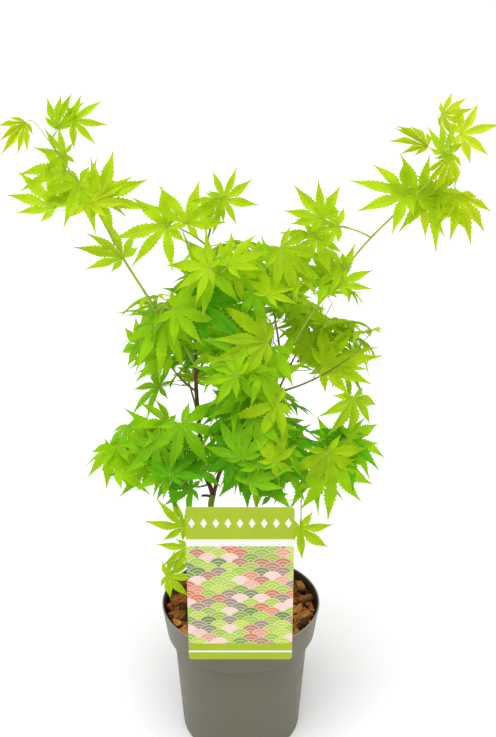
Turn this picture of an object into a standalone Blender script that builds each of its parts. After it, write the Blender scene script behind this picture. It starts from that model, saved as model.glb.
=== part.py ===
"""A young Japanese maple in its round nursery pot, with a picture card hooked over the rim.

Units are metres, +Z is up and -Y is the front. The origin is the centre of the
pot's flat underside. Limbs taper from where they leave the wood below them to
where they enter a mass of foliage. The masses are uneven closed solids, cut
round the wood that runs through them and round each other.
"""

import math
import random

import bmesh
import bpy
from mathutils import Euler, Matrix, Vector

OBJECT_NAME = "potted_japanese_maple"
GAP = 0.0003  # clearance between two pieces that touch
GROWTH = 1.15 * GAP  # how far a cutter's corners stand out, so that its faces stand out by a gap
SHARP_ANGLE = math.radians(30)
WELD = 1e-6  # corners this near each other are one

# Pot: a stepped collar above a body that tapers to a rounded foot.
POT_HEIGHT = 0.175
RIM_RADIUS = 0.0935
COLLAR_FOOT_RADIUS = 0.0882
COLLAR_FOOT = 0.137  # height at which the collar starts to turn in
COLLAR_BEND = (0.0842, 0.1325)  # radius and height halfway round that turn
SHOULDER_RADIUS = 0.0802
SHOULDER = 0.1305
FOOT_RADIUS = 0.0716
FOOT_ROUNDING = 0.0060
WALL = 0.0014
FLOOR = 0.0030
LIP_ROUNDING = 0.0006
POT_STEPS = 32
AXIS_MERGE = 0.00005  # how near the axis a turned profile's ends are closed
DRAIN_RADIUS = 0.0050
DRAIN_RING = 0.048
DRAIN_COUNT = 6
DRAIN_SIDES = 12

# Compost with its bark mulch fills the pot to just under the rim.
COMPOST_TOP = 0.1630
COMPOST_EDGE_DROP = 0.0020
COMPOST_FLAT_RADIUS = 0.040
COMPOST_GAP = 1.5 * GAP  # to the wall, measured level, where the wall slopes

# Card: an upright plate in front of the rim, held by a tongue over the lip.
CARD_WIDTH = 0.1155
CARD_LOW = 0.1606
CARD_HIGH = 0.3567
CARD_THICKNESS = 0.0008
CARD_CORNER = 0.0040
CORNER_STEPS = 4
CARD_BACK = -(RIM_RADIUS + GAP)
TONGUE_WIDTH = 0.024
TONGUE_INSIDE = 0.0878  # distance of the tongue's inner face from the pot's axis
TONGUE_LOW = 0.1660

# Trunk: leans a little, with low ridges that flare out at its foot.
TRUNK_FOOT = (-0.012, 0.006, COMPOST_TOP + GAP)
TRUNK_ROUTE = (
    TRUNK_FOOT, (-0.012, 0.006, 0.172), (-0.018, 0.005, 0.205), (-0.027, 0.002, 0.255),
    (-0.034, 0.000, 0.298), (-0.0315, 0.000, 0.319))
TRUNK_FOOT_RADIUS, TRUNK_TOP_RADIUS = 0.0050, 0.0033
FLARE_HEIGHT = 0.013
FLARE_RINGS = (0.0, 0.25, 0.5)  # heights of the rings low down, as parts of the flare's
FLARE_SPREAD = 0.0023  # what the flare adds to the radius all round
RIDGE_COUNT, RIDGE_SPREAD = 5, 0.30  # spread as a part of the radius

# Limbs whose whole course shows: the wood each one grows from, the mass it ends
# in, its radius at foot and tip, and the points its centre line runs through.
LIMB_STEP = 0.019
MAIN_LIMBS = {
    "left_bough": ("trunk", None, 0.0026, 0.0021, (
        (-0.0315, 0.000, 0.315), (-0.0345, 0.001, 0.327), (-0.039, 0.002, 0.338),
        (-0.042, 0.003, 0.355), (-0.045, 0.004, 0.388), (-0.048, 0.004, 0.437),
        (-0.049, 0.003, 0.481))),
    "right_bough": ("trunk left_bough", None, 0.0023, 0.0016, (
        (-0.0310, 0.000, 0.316), (-0.029, -0.001, 0.326), (-0.021, -0.004, 0.354),
        (-0.002, -0.006, 0.378), (0.020, -0.005, 0.397), (0.0325, -0.003, 0.413),
        (0.035, -0.002, 0.437), (0.039, 0.000, 0.460), (0.0475, 0.002, 0.488))),
    "left_long_shoot": ("left_bough", "left_tip_leaves", 0.0018, 0.0009, (
        (-0.049, 0.003, 0.478), (-0.062, 0.000, 0.505), (-0.080, -0.006, 0.531),
        (-0.102, -0.011, 0.571), (-0.121, -0.013, 0.606), (-0.146, -0.016, 0.659),
        (-0.186, -0.020, 0.726))),
    "right_long_shoot": ("right_bough", "right_tip_leaves", 0.0015, 0.0009, (
        (0.0475, 0.002, 0.485), (0.0745, -0.002, 0.537), (0.095, -0.004, 0.566),
        (0.115, -0.006, 0.598), (0.135, -0.008, 0.625), (0.174, -0.010, 0.667),
        (0.200, -0.010, 0.693), (0.210, -0.010, 0.722))),
    "upper_bough": ("left_bough left_long_shoot", "top_leaves", 0.0017, 0.0009, (
        (-0.049, 0.003, 0.477), (-0.046, 0.007, 0.520), (-0.040, 0.007, 0.565),
        (-0.033, 0.005, 0.620), (-0.022, 0.002, 0.652), (-0.010, 0.001, 0.664))),
    "centre_bough": ("right_bough", "upper_front_leaves", 0.0014, 0.0009, (
        (0.020, -0.005, 0.397), (0.013, 0.012, 0.440), (0.003, 0.016, 0.510),
        (-0.012, 0.000, 0.557), (-0.020, -0.018, 0.580))),
}

# Limbs that bow out from other wood to the middle of a mass: the wood, the height
# at which they leave it, the mass, the radius at the foot, and how far the limb's
# middle is pulled aside from a straight line.
SIDE_LIMBS = {
    "upper_right_limb": ("right_bough", 0.481, "upper_right_leaves", 0.0012, (0.000, 0.006, 0.000)),
    "top_left_limb": ("upper_bough", 0.612, "top_left_leaves", 0.0010, (0.000, 0.000, 0.006)),
    "top_right_limb": ("right_long_shoot", 0.625, "top_right_leaves", 0.0010, (0.000, 0.000, 0.006)),
    "left_limb": ("left_bough", 0.446, "left_leaves", 0.0013, (0.000, -0.004, -0.006)),
    "left_middle_limb": ("left_bough", 0.388, "left_middle_leaves", 0.0013, (0.000, 0.000, -0.004)),
    "low_left_limb": ("left_bough", 0.346, "low_left_leaves", 0.0014, (0.000, 0.000, -0.004)),
    "low_front_limb": ("left_bough", 0.331, "low_front_leaves", 0.0012, (0.000, 0.000, -0.004)),
    "low_centre_limb": ("right_bough", 0.378, "low_centre_leaves", 0.0012, (0.000, 0.000, -0.003)),
    "heart_limb": ("right_bough", 0.437, "heart_leaves", 0.0012, (0.004, 0.000, -0.006)),
    "right_limb": ("right_bough", 0.446, "right_leaves", 0.0013, (0.000, 0.000, -0.006)),
    "low_right_limb": ("right_bough", 0.397, "low_right_leaves", 0.0014, (0.000, 0.000, 0.004)),
    "back_left_bough": ("left_bough", 0.362, "back_left_leaves", 0.0016, (0.008, 0.006, -0.010)),
    "back_right_bough": ("right_bough", 0.424, "back_right_leaves", 0.0015, (-0.006, 0.006, -0.010)),
    "back_top_limb": ("left_bough", 0.464, "back_top_leaves", 0.0014, (0.000, 0.004, -0.008)),
    "back_low_limb": ("right_bough", 0.354, "back_low_leaves", 0.0014, (0.000, 0.000, -0.006)),
    "low_left_twig": ("trunk", 0.292, "left_sprig_leaf", 0.0011, (0.004, -0.004, 0.014)),
    "low_right_twig": ("low_right_limb", 0.394, "right_sprig_leaf", 0.0009, (0.000, -0.008, 0.010)),
}
SIDE_TIP_RADIUS = 0.0009
GREEN_BELOW = 0.0012  # limbs that start thinner than this are still green

# Each mass: its centre, its half sizes across, through and upwards, how far its
# top leans back in degrees, and how many lobes it has. Pads are thin.
PAD = 0.008
MASSES = {
    "left_tip_leaves": ((-0.192, -0.020, 0.741), (0.045, PAD, 0.038), 30, 7),
    "left_upper_leaves": ((-0.160, -0.018, 0.682), (0.058, PAD, 0.036), 40, 6),
    "left_lower_leaves": ((-0.149, -0.014, 0.606), (0.054, PAD, 0.040), 38, 7),
    "top_left_leaves": ((-0.084, -0.028, 0.645), (0.045, 0.010, 0.029), 35, 7),
    "top_leaves": ((-0.006, 0.000, 0.667), (0.032, 0.010, 0.026), 15, 5),
    "upper_front_leaves": ((-0.042, -0.030, 0.585), (0.050, 0.035, 0.047), 25, 11),
    "upper_right_leaves": ((0.028, -0.022, 0.596), (0.034, 0.024, 0.046), 15, 9),
    "right_base_leaves": ((0.100, -0.008, 0.578), (0.035, 0.010, 0.033), 35, 7),
    "top_right_leaves": ((0.080, -0.010, 0.635), (0.036, 0.014, 0.040), 15, 8),
    "right_upper_leaves": ((0.199, -0.010, 0.664), (0.054, PAD, 0.053), 28, 8),
    "right_tip_leaves": ((0.208, -0.010, 0.731), (0.044, PAD, 0.039), 20, 8),
    "left_leaves": ((-0.089, -0.016, 0.512), (0.039, 0.043, 0.053), 10, 11),
    "left_middle_leaves": ((-0.086, -0.028, 0.422), (0.036, 0.030, 0.037), 0, 9),
    "low_left_leaves": ((-0.128, -0.010, 0.362), (0.050, 0.042, 0.043), 8, 11),
    "low_front_leaves": ((-0.062, -0.050, 0.360), (0.028, 0.026, 0.036), 10, 8),
    "heart_leaves": ((0.004, -0.044, 0.486), (0.044, 0.038, 0.056), 10, 11),
    "low_centre_leaves": ((0.011, -0.050, 0.388), (0.052, 0.034, 0.053), 5, 11),
    "right_leaves": ((0.118, -0.008, 0.491), (0.053, 0.045, 0.062), 8, 12),
    "low_right_leaves": ((0.108, -0.012, 0.384), (0.052, 0.044, 0.057), 8, 12),
    "left_sprig_leaf": ((-0.069, -0.050, 0.264), (0.038, PAD, 0.052), 10, 5),
    "right_sprig_leaf": ((0.067, -0.050, 0.300), (0.025, PAD, 0.040), 5, 5),
    "back_left_leaves": ((-0.078, 0.090, 0.470), (0.058, 0.050, 0.056), -15, 11),
    "back_right_leaves": ((0.078, 0.092, 0.480), (0.060, 0.052, 0.060), -15, 11),
    "back_top_leaves": ((-0.004, 0.070, 0.548), (0.056, 0.046, 0.042), -20, 10),
    "back_low_leaves": ((0.004, 0.086, 0.378), (0.068, 0.050, 0.045), -10, 10),
}
PAD_THINNESS = 2.4  # a mass this many times as wide as it is thick is a pad
BALL_SIDES, PAD_SIDES = (12, 9), (6, 12)  # faces around and rings
BALL_SHARPNESS, PAD_SHARPNESS = 7.0, 12.0  # the higher, the narrower the lobes
BALL_CORE, PAD_CORE = 0.66, 0.48  # radius between the lobes, as a part of the whole
SHORTEST_LOBE = 0.75
LOBE_SWING = 0.22  # how far a pad's lobe strays from its even share of the rim
PAD_WAVE = 0.25  # and out of the pad's plane
BALL_SWING = 0.4  # how far a ball's lobe strays round it, in radians
GOLDEN = (1 + math.sqrt(5)) / 2  # spaces a ball's lobes evenly round it
FIRST_SEED = 20

# Colours
POT_COLOUR = (0.175, 0.162, 0.122)
COMPOST_COLOUR = (0.16, 0.065, 0.022)
CARD_COLOUR = (0.42, 0.58, 0.05)
TRUNK_COLOUR = (0.13, 0.10, 0.035)
BARK_COLOUR = (0.10, 0.035, 0.014)
SHOOT_COLOUR = (0.20, 0.22, 0.04)
LEAF_COLOUR = (0.22, 0.48, 0.02)
LEAF_COLOUR_SPREAD = 0.35
POT_ROUGHNESS, COMPOST_ROUGHNESS, CARD_ROUGHNESS = 0.5, 0.95, 0.35
WOOD_ROUGHNESS, LEAF_ROUGHNESS = 0.75, 0.55


def clear_scene():
    for old in list(bpy.data.objects):
        bpy.data.objects.remove(old, do_unlink=True)


def new_collection(name):
    collection = bpy.data.collections.new(name)
    bpy.context.scene.collection.children.link(collection)
    return collection


def finish(name, colour, roughness):
    """A Principled material of one colour."""
    material = bpy.data.materials.new(name)
    material.use_nodes = True
    shader = material.node_tree.nodes["Principled BSDF"]
    shader.inputs["Base Color"].default_value = (*colour, 1.0)
    shader.inputs["Roughness"].default_value = roughness
    shader.inputs["Metallic"].default_value = 0.0
    return material


def add_piece(name, mesh, material, collection):
    piece = bpy.data.objects.new(name, mesh)
    mesh.materials.append(material)
    collection.objects.link(piece)
    return piece


def as_mesh(source, name):
    """The evaluated shape of a curve as a welded mesh, in place of the curve."""
    bpy.context.view_layer.update()
    graph = bpy.context.evaluated_depsgraph_get()
    mesh = bpy.data.meshes.new_from_object(source.evaluated_get(graph))
    mesh.name = name
    data = source.data
    bpy.data.objects.remove(source, do_unlink=True)
    bpy.data.curves.remove(data)
    shape = bmesh.new()
    shape.from_mesh(mesh)
    bmesh.ops.remove_doubles(shape, verts=shape.verts, dist=WELD)
    bmesh.ops.triangulate(shape, faces=shape.faces)
    shape.to_mesh(mesh)
    shape.free()
    mesh.materials.clear()
    return mesh


def box_of(piece):
    points = [vertex.co for vertex in piece.data.vertices]
    low = Vector([min(point[axis] for point in points) for axis in range(3)])
    high = Vector([max(point[axis] for point in points) for axis in range(3)])
    return low, high


def boxes_meet(first, second):
    (low_a, high_a), (low_b, high_b) = box_of(first), box_of(second)
    return all(low_a[k] - GAP < high_b[k] and low_b[k] - GAP < high_a[k] for k in range(3))


def as_cutter(mesh, cutters):
    cutter = bpy.data.objects.new(mesh.name, mesh)
    cutter.hide_render = True
    cutter.display_type = "WIRE"
    cutters.objects.link(cutter)
    return cutter


def grown_copy(piece, cutters):
    """A cutter: the piece's own shape, one gap larger all over."""
    mesh = piece.data.copy()
    normals = [vertex.normal.copy() for vertex in mesh.vertices]
    for vertex, normal in zip(mesh.vertices, normals):
        vertex.co += normal * GROWTH
    mesh.name = piece.name + "_grown"
    return as_cutter(mesh, cutters)


def cut_round(piece, cutter):
    """Takes the cutter's space out of the piece."""
    boolean(piece, cutter, "DIFFERENCE")


def boolean(piece, other, operation):
    step = piece.modifiers.new(operation.lower() + "_" + other.name, "BOOLEAN")
    step.operation = operation
    step.solver = "EXACT"
    step.object = other


# Pot, compost and card


def arc(centre, radius, start, end, steps):
    """Points of an arc in the profile's plane, from one angle to another in degrees."""
    angles = [math.radians(start + (end - start) * step / steps) for step in range(steps + 1)]
    return [(centre[0] + radius * math.cos(a), centre[1] + radius * math.sin(a)) for a in angles]


def outer_profile():
    """The pot's outer side, from the lip down to the underside's edge."""
    lip = arc((RIM_RADIUS - LIP_ROUNDING, POT_HEIGHT - LIP_ROUNDING), LIP_ROUNDING, 90, 0, 2)
    collar = [(COLLAR_FOOT_RADIUS, COLLAR_FOOT), COLLAR_BEND, (SHOULDER_RADIUS, SHOULDER)]
    foot_centre = (FOOT_RADIUS - FOOT_ROUNDING, FOOT_ROUNDING)
    return lip + collar + arc(foot_centre, FOOT_ROUNDING, 0, -90, 3)


def inner_profile(inset=0.0, top=POT_HEIGHT):
    """The pot's inner side from the floor's edge up, moved in by an inset, up to a height."""
    thickness = WALL + inset
    points = [
        (FOOT_RADIUS - FOOT_ROUNDING, FLOOR + inset),
        (FOOT_RADIUS - thickness, FLOOR + FOOT_ROUNDING),
        (SHOULDER_RADIUS - thickness, SHOULDER + thickness / 2),
        (COLLAR_FOOT_RADIUS - thickness, COLLAR_FOOT + thickness / 2),
    ]
    rise = (top - points[-1][1]) / (POT_HEIGHT - points[-1][1])
    edge = points[-1][0] + (RIM_RADIUS - thickness - points[-1][0]) * rise
    return points + [(edge, top)]


def turned(name, profile, material, collection):
    """A shape turned round the Z axis from a profile of (radius, height) points."""
    mesh = bpy.data.meshes.new(name)
    shape = bmesh.new()
    verts = [shape.verts.new((radius, 0.0, height)) for radius, height in profile]
    for start, end in zip(verts, verts[1:]):
        shape.edges.new((start, end))
    shape.to_mesh(mesh)
    shape.free()
    piece = add_piece(name, mesh, material, collection)
    screw = piece.modifiers.new("turn", "SCREW")
    screw.steps = POT_STEPS
    screw.render_steps = POT_STEPS
    screw.use_merge_vertices = True
    screw.merge_threshold = AXIS_MERGE
    screw.use_smooth_shade = True
    return piece


def pot(collection, cutters):
    """A thin wall turned in one piece with its floor, which has drain holes off its centre."""
    profile = [(0.0, FLOOR)] + inner_profile() + outer_profile() + [(0.0, 0.0)]
    material = finish("pot_plastic", POT_COLOUR, POT_ROUGHNESS)
    piece = turned("pot", profile, material, collection)
    for number in range(DRAIN_COUNT):
        angle = math.tau * (number + 0.5) / DRAIN_COUNT
        shape = bmesh.new()
        bmesh.ops.create_cone(shape, cap_ends=True, segments=DRAIN_SIDES, radius1=DRAIN_RADIUS,
                              radius2=DRAIN_RADIUS, depth=4 * FLOOR)
        mesh = bpy.data.meshes.new(f"drain_{number + 1}")
        shape.to_mesh(mesh)
        shape.free()
        hole = as_cutter(mesh, cutters)
        hole.location = (DRAIN_RING * math.cos(angle), DRAIN_RING * math.sin(angle), 0.0)
        cut_round(piece, hole)


def compost(collection):
    """The pot's fill: flat on top where the trunk stands, a little lower at the wall."""
    wall_side = inner_profile(inset=COMPOST_GAP, top=COMPOST_TOP - COMPOST_EDGE_DROP)
    flat = (COMPOST_FLAT_RADIUS, COMPOST_TOP)
    profile = [(0.0, COMPOST_TOP), flat] + wall_side[::-1] + [(0.0, wall_side[0][1])]
    material = finish("compost", COMPOST_COLOUR, COMPOST_ROUGHNESS)
    turned("compost", profile, material, collection)


def rounded_rectangle(width, low, high, corner):
    half = width / 2
    corners = ((half, high, 0), (-half, high, 90), (-half, low, 180), (half, low, 270))
    points = []
    for x, z, start in corners:
        centre = (x - math.copysign(corner, x), z + (corner if z == low else -corner))
        points += arc(centre, corner, start, start + 90, CORNER_STEPS)
    return points


def plate_from_outline(name, outline, thickness):
    """A flat outline in the XZ plane, extruded along Y, as a mesh centred on Y = 0."""
    curve = bpy.data.curves.new(name, "CURVE")
    curve.dimensions = "2D"
    curve.fill_mode = "BOTH"
    curve.extrude = thickness / 2
    spline = curve.splines.new("POLY")
    spline.points.add(len(outline) - 1)
    for point, (x, z) in zip(spline.points, outline):
        point.co = (x, z, 0.0, 1.0)
    spline.use_cyclic_u = True
    holder = bpy.data.objects.new(name, curve)
    bpy.context.scene.collection.objects.link(holder)
    mesh = as_mesh(holder, name)
    mesh.transform(Matrix.Rotation(math.radians(90), 4, "X"))
    return mesh


def card(collection, cutters):
    """The card's plate with its tongue: a bridge over the lip and a leg down inside it."""
    outline = rounded_rectangle(CARD_WIDTH, CARD_LOW, CARD_HIGH, CARD_CORNER)
    mesh = plate_from_outline("card", outline, CARD_THICKNESS)
    mesh.transform(Matrix.Translation((0.0, CARD_BACK - CARD_THICKNESS / 2, 0.0)))
    material = finish("card_print", CARD_COLOUR, CARD_ROUGHNESS)
    piece = add_piece("card", mesh, material, collection)

    bridge_low = POT_HEIGHT + GAP
    bridge_high = bridge_low + CARD_THICKNESS
    front = CARD_BACK - CARD_THICKNESS / 2
    side = [
        (front, bridge_low), (-TONGUE_INSIDE - CARD_THICKNESS, bridge_low),
        (-TONGUE_INSIDE - CARD_THICKNESS, TONGUE_LOW), (-TONGUE_INSIDE, TONGUE_LOW),
        (-TONGUE_INSIDE, bridge_high), (front, bridge_high),
    ]
    tongue_mesh = plate_from_outline("tongue", side, TONGUE_WIDTH)
    tongue_mesh.transform(Matrix.Rotation(math.radians(90), 4, "Z"))
    boolean(piece, as_cutter(tongue_mesh, cutters), "UNION")


# Wood


def smooth_route(route):
    """Points about one step apart on a Catmull-Rom curve through the route's points."""
    points = [Vector(point) for point in route]
    ends = [2 * points[0] - points[1]] + points + [2 * points[-1] - points[-2]]
    smooth = [points[0]]
    for before, start, end, after in zip(ends, ends[1:], ends[2:], ends[3:]):
        count = max(1, round((end - start).length / LIMB_STEP))
        for number in range(1, count + 1):
            t = number / count
            smooth.append(0.5 * (
                2 * start + (end - before) * t
                + (2 * before - 5 * start + 4 * end - after) * t ** 2
                + (3 * start - before - 3 * end + after) * t ** 3))
    return smooth


def tapered_tube(name, points, radii):
    """A round limb along the points, with its radius given at each, as a closed mesh."""
    curve = bpy.data.curves.new(name, "CURVE")
    curve.dimensions = "3D"
    curve.fill_mode = "FULL"
    curve.use_fill_caps = True
    curve.bevel_depth = 1.0
    curve.bevel_resolution = 2
    spline = curve.splines.new("POLY")
    spline.points.add(len(points) - 1)
    for place, point, radius in zip(spline.points, points, radii):
        place.co = (*point, 1.0)
        place.radius = radius
    holder = bpy.data.objects.new(name, curve)
    bpy.context.scene.collection.objects.link(holder)
    return as_mesh(holder, name)


def limb(name, points, foot_radius, tip_radius, material, collection):
    last = len(points) - 1
    radii = [foot_radius + (tip_radius - foot_radius) * number / last for number in range(last + 1)]
    return add_piece(name, tapered_tube(name, points, radii), material, collection)


def trunk(collection):
    """The stem: low ridges flare out at its foot, which is cut flat on the compost."""
    foot = Vector(TRUNK_FOOT)
    near_foot = [foot + Vector((0.0, 0.0, rise * FLARE_HEIGHT)) for rise in FLARE_RINGS]
    points = near_foot + smooth_route(TRUNK_ROUTE)[1:]
    tallness = points[-1].z - foot.z
    radii = []
    for point in points:
        height = point.z - foot.z
        flare = max(0.0, 1 - height / FLARE_HEIGHT) ** 2
        taper = (TRUNK_TOP_RADIUS - TRUNK_FOOT_RADIUS) * height / tallness
        radii.append(TRUNK_FOOT_RADIUS + taper + FLARE_SPREAD * flare)
    mesh = tapered_tube("trunk", points, radii)
    for vertex in mesh.vertices:
        height = vertex.co.z - foot.z
        if height < FLARE_HEIGHT:
            out = vertex.co.xy - foot.xy
            ridge = 0.5 + 0.5 * math.cos(RIDGE_COUNT * math.atan2(out.y, out.x))
            vertex.co.xy += out * RIDGE_SPREAD * ridge * (1 - height / FLARE_HEIGHT)
    return add_piece("trunk", mesh, finish("trunk_bark", TRUNK_COLOUR, WOOD_ROUGHNESS), collection)


def point_at_height(points, height):
    """Where a centre line first reaches a height, or crosses it on the way down."""
    for low, high in zip(points, points[1:]):
        if min(low.z, high.z) <= height <= max(low.z, high.z):
            return low.lerp(high, (height - low.z) / (high.z - low.z))
    raise ValueError(f"no point at height {height}")


def bowed_line(start, end, pull):
    """Points one step apart from start to end, with the middle pulled aside."""
    count = max(3, round((end - start).length / LIMB_STEP))
    points = []
    for number in range(count + 1):
        along = number / count
        points.append(start.lerp(end, along) + Vector(pull) * 4 * along * (1 - along))
    return points


def bark(name, thin):
    return finish(name + "_bark", SHOOT_COLOUR if thin else BARK_COLOUR, WOOD_ROUGHNESS)


def wood_pieces(collection):
    """The trunk and every limb, with the pieces and the mass that each limb is fitted to."""
    pieces = {"trunk": trunk(collection)}
    fitted_to = {}
    lines = {"trunk": smooth_route(TRUNK_ROUTE)}
    for name, (grows_from, mass, foot_radius, tip_radius, route) in MAIN_LIMBS.items():
        lines[name] = smooth_route(route)
        material = bark(name, "shoot" in name)
        pieces[name] = limb(name, lines[name], foot_radius, tip_radius, material, collection)
        fitted_to[name] = grows_from.split() + ([mass] if mass else [])
    for name, (grows_from, height, mass, foot_radius, pull) in SIDE_LIMBS.items():
        start = point_at_height(lines[grows_from], height)
        lines[name] = bowed_line(start, Vector(MASSES[mass][0]), pull)
        material = bark(name, foot_radius < GREEN_BELOW)
        pieces[name] = limb(name, lines[name], foot_radius, SIDE_TIP_RADIUS, material, collection)
        fitted_to[name] = [grows_from, mass]
    return pieces, fitted_to


# Foliage


def lobe_directions(count, flat, rng):
    """Directions for the lobes: round the rim of a pad, or spread all over a ball."""
    directions = []
    for number in range(count):
        if flat:
            angle = math.tau * (number + rng.uniform(-LOBE_SWING, LOBE_SWING)) / count
            wave = rng.uniform(-PAD_WAVE, PAD_WAVE)
            directions.append(Vector((math.cos(angle), wave, math.sin(angle))))
        else:
            height = 1 - 2 * (number + 0.5) / count
            angle = math.tau * number / GOLDEN + rng.uniform(-BALL_SWING, BALL_SWING)
            out = math.sqrt(1 - height * height)
            directions.append(Vector((out * math.cos(angle), out * math.sin(angle), height)))
    return [direction.normalized() for direction in directions]


def foliage(name, centre, half, lean, lobes, seed, collection):
    """An uneven ball with blunt lobes that fills its half sizes, leaned back and set in place."""
    rng = random.Random(seed)
    flat = half[1] < half[0] / PAD_THINNESS
    directions = lobe_directions(lobes, flat, rng)
    reaches = [rng.uniform(SHORTEST_LOBE, 1.0) for _ in directions]
    shape = bmesh.new()
    around, rings = PAD_SIDES if flat else BALL_SIDES
    sharpness, core = (PAD_SHARPNESS, PAD_CORE) if flat else (BALL_SHARPNESS, BALL_CORE)
    bmesh.ops.create_uvsphere(shape, u_segments=around, v_segments=rings, radius=1.0)
    for vertex in shape.verts:
        toward = vertex.co.normalized()
        swell = max(
            reach * math.exp(sharpness * (toward.dot(direction) - 1))
            for direction, reach in zip(directions, reaches))
        vertex.co = toward * (core + (1 - core) * swell)
    lows = [min(vertex.co[axis] for vertex in shape.verts) for axis in range(3)]
    highs = [max(vertex.co[axis] for vertex in shape.verts) for axis in range(3)]
    for vertex in shape.verts:
        for axis in range(3):
            filled = 2 * (vertex.co[axis] - lows[axis]) / (highs[axis] - lows[axis]) - 1
            vertex.co[axis] = half[axis] * filled
    bmesh.ops.triangulate(shape, faces=shape.faces)
    turn = Euler((math.radians(-lean), 0.0, 0.0)).to_matrix().to_4x4()
    bmesh.ops.transform(shape, matrix=Matrix.Translation(centre) @ turn, verts=shape.verts)
    mesh = bpy.data.meshes.new(name)
    shape.to_mesh(mesh)
    shape.free()
    shade = 1 + LEAF_COLOUR_SPREAD * rng.uniform(-1, 1)
    colour = tuple(min(1.0, value * shade) for value in LEAF_COLOUR)
    return add_piece(name, mesh, finish(name + "_green", colour, LEAF_ROUGHNESS), collection)


def fit_together(wood, fitted_to, masses, cutters):
    """Ends limbs at the wood and the mass they meet, and cuts masses round all that passes."""
    grown = {piece.name: grown_copy(piece, cutters) for piece in [*wood.values(), *masses.values()]}
    for name, others in fitted_to.items():
        for other in others:
            cut_round(wood[name], grown[other])
    done = []
    for name, mass in masses.items():
        passing = [piece for other, piece in wood.items() if name not in fitted_to.get(other, ())]
        for piece in passing + done:
            if boxes_meet(mass, piece):
                cut_round(mass, grown[piece.name])
        done.append(mass)


def build():
    clear_scene()
    collection = new_collection(OBJECT_NAME)
    cutters = new_collection("cutters")
    pot(collection, cutters)
    compost(collection)
    card(collection, cutters)
    wood, fitted_to = wood_pieces(collection)
    masses = {}
    for number, (name, (centre, half, lean, lobes)) in enumerate(MASSES.items()):
        masses[name] = foliage(name, centre, half, lean, lobes, FIRST_SEED + number, collection)
    fit_together(wood, fitted_to, masses, cutters)
    for piece in collection.objects:
        piece.data.shade_smooth()
        piece.data.set_sharp_from_angle(angle=SHARP_ANGLE)


build()
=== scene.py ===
"""A young Japanese maple in its round nursery pot: the looks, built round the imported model.

Units are metres, +Z is up and -Y is the front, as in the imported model. The wood keeps
the model's centre lines. Inside each mass of foliage twigs grow from the wood towards
the leaves by a seeded rule, and every leaf has its own stalk.
"""

import math
import random

import bmesh
import bpy
import numpy as np
from mathutils import Matrix, Vector, noise
from mathutils.bvhtree import BVHTree


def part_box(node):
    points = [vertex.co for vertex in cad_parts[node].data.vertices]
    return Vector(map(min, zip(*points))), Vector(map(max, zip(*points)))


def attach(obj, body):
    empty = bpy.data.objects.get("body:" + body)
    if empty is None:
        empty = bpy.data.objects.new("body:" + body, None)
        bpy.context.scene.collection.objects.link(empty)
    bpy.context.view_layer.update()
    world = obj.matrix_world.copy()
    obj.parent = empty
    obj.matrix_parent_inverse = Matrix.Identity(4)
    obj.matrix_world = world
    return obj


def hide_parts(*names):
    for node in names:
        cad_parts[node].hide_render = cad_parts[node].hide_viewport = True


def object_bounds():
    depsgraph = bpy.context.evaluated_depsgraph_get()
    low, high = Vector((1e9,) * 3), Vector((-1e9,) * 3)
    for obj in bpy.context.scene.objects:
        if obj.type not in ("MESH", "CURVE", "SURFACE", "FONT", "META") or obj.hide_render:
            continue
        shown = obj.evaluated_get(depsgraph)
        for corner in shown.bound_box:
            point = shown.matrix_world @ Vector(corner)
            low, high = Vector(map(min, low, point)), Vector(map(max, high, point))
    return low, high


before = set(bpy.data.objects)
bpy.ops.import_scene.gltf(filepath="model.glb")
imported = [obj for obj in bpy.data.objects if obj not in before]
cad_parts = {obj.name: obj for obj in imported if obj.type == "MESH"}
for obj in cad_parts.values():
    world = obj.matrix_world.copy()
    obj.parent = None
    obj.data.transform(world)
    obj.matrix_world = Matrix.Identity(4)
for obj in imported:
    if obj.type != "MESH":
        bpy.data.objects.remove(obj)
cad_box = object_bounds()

BODY = "root"
TINY = 1e-6

# Camera: where it stands, how far it looks down, and its lens for a 36 mm long side
CAMERA_PLACE = (0.0085, -1.130, 0.965)
CAMERA_DOWN = math.radians(23.45)
CAMERA_LENS, CAMERA_LONG_SIDE = 55.34, 36
CAMERA_REACH = 200  # how far it sees

# Pot: (radius, height) from the underside's edge up the outside and down the inside
POT_SIDES = 96
POT_RINGS = (
    (0.0656, 0.0000), (0.0690, 0.0008), (0.0711, 0.0029), (0.0716, 0.0060), (0.0802, 0.1305),
    (0.0842, 0.1325), (0.0882, 0.1370), (0.0931, 0.1715), (0.0936, 0.1731), (0.0934, 0.1746),
    (0.0927, 0.1750), (0.0920, 0.1745), (0.0917, 0.1725), (0.0868, 0.1377), (0.0788, 0.1312),
    (0.0702, 0.0090), (0.0656, 0.0030))
DRAIN_RADIUS, DRAIN_RING, DRAIN_COUNT = 0.005, 0.048, 6
DRAIN_SIDES, DRAIN_DEPTH = 24, 0.02
LEDGE_LOW, LEDGE_HIGH = 0.1285, 0.1385  # the turn below the collar, which carries a painted highlight
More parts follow.
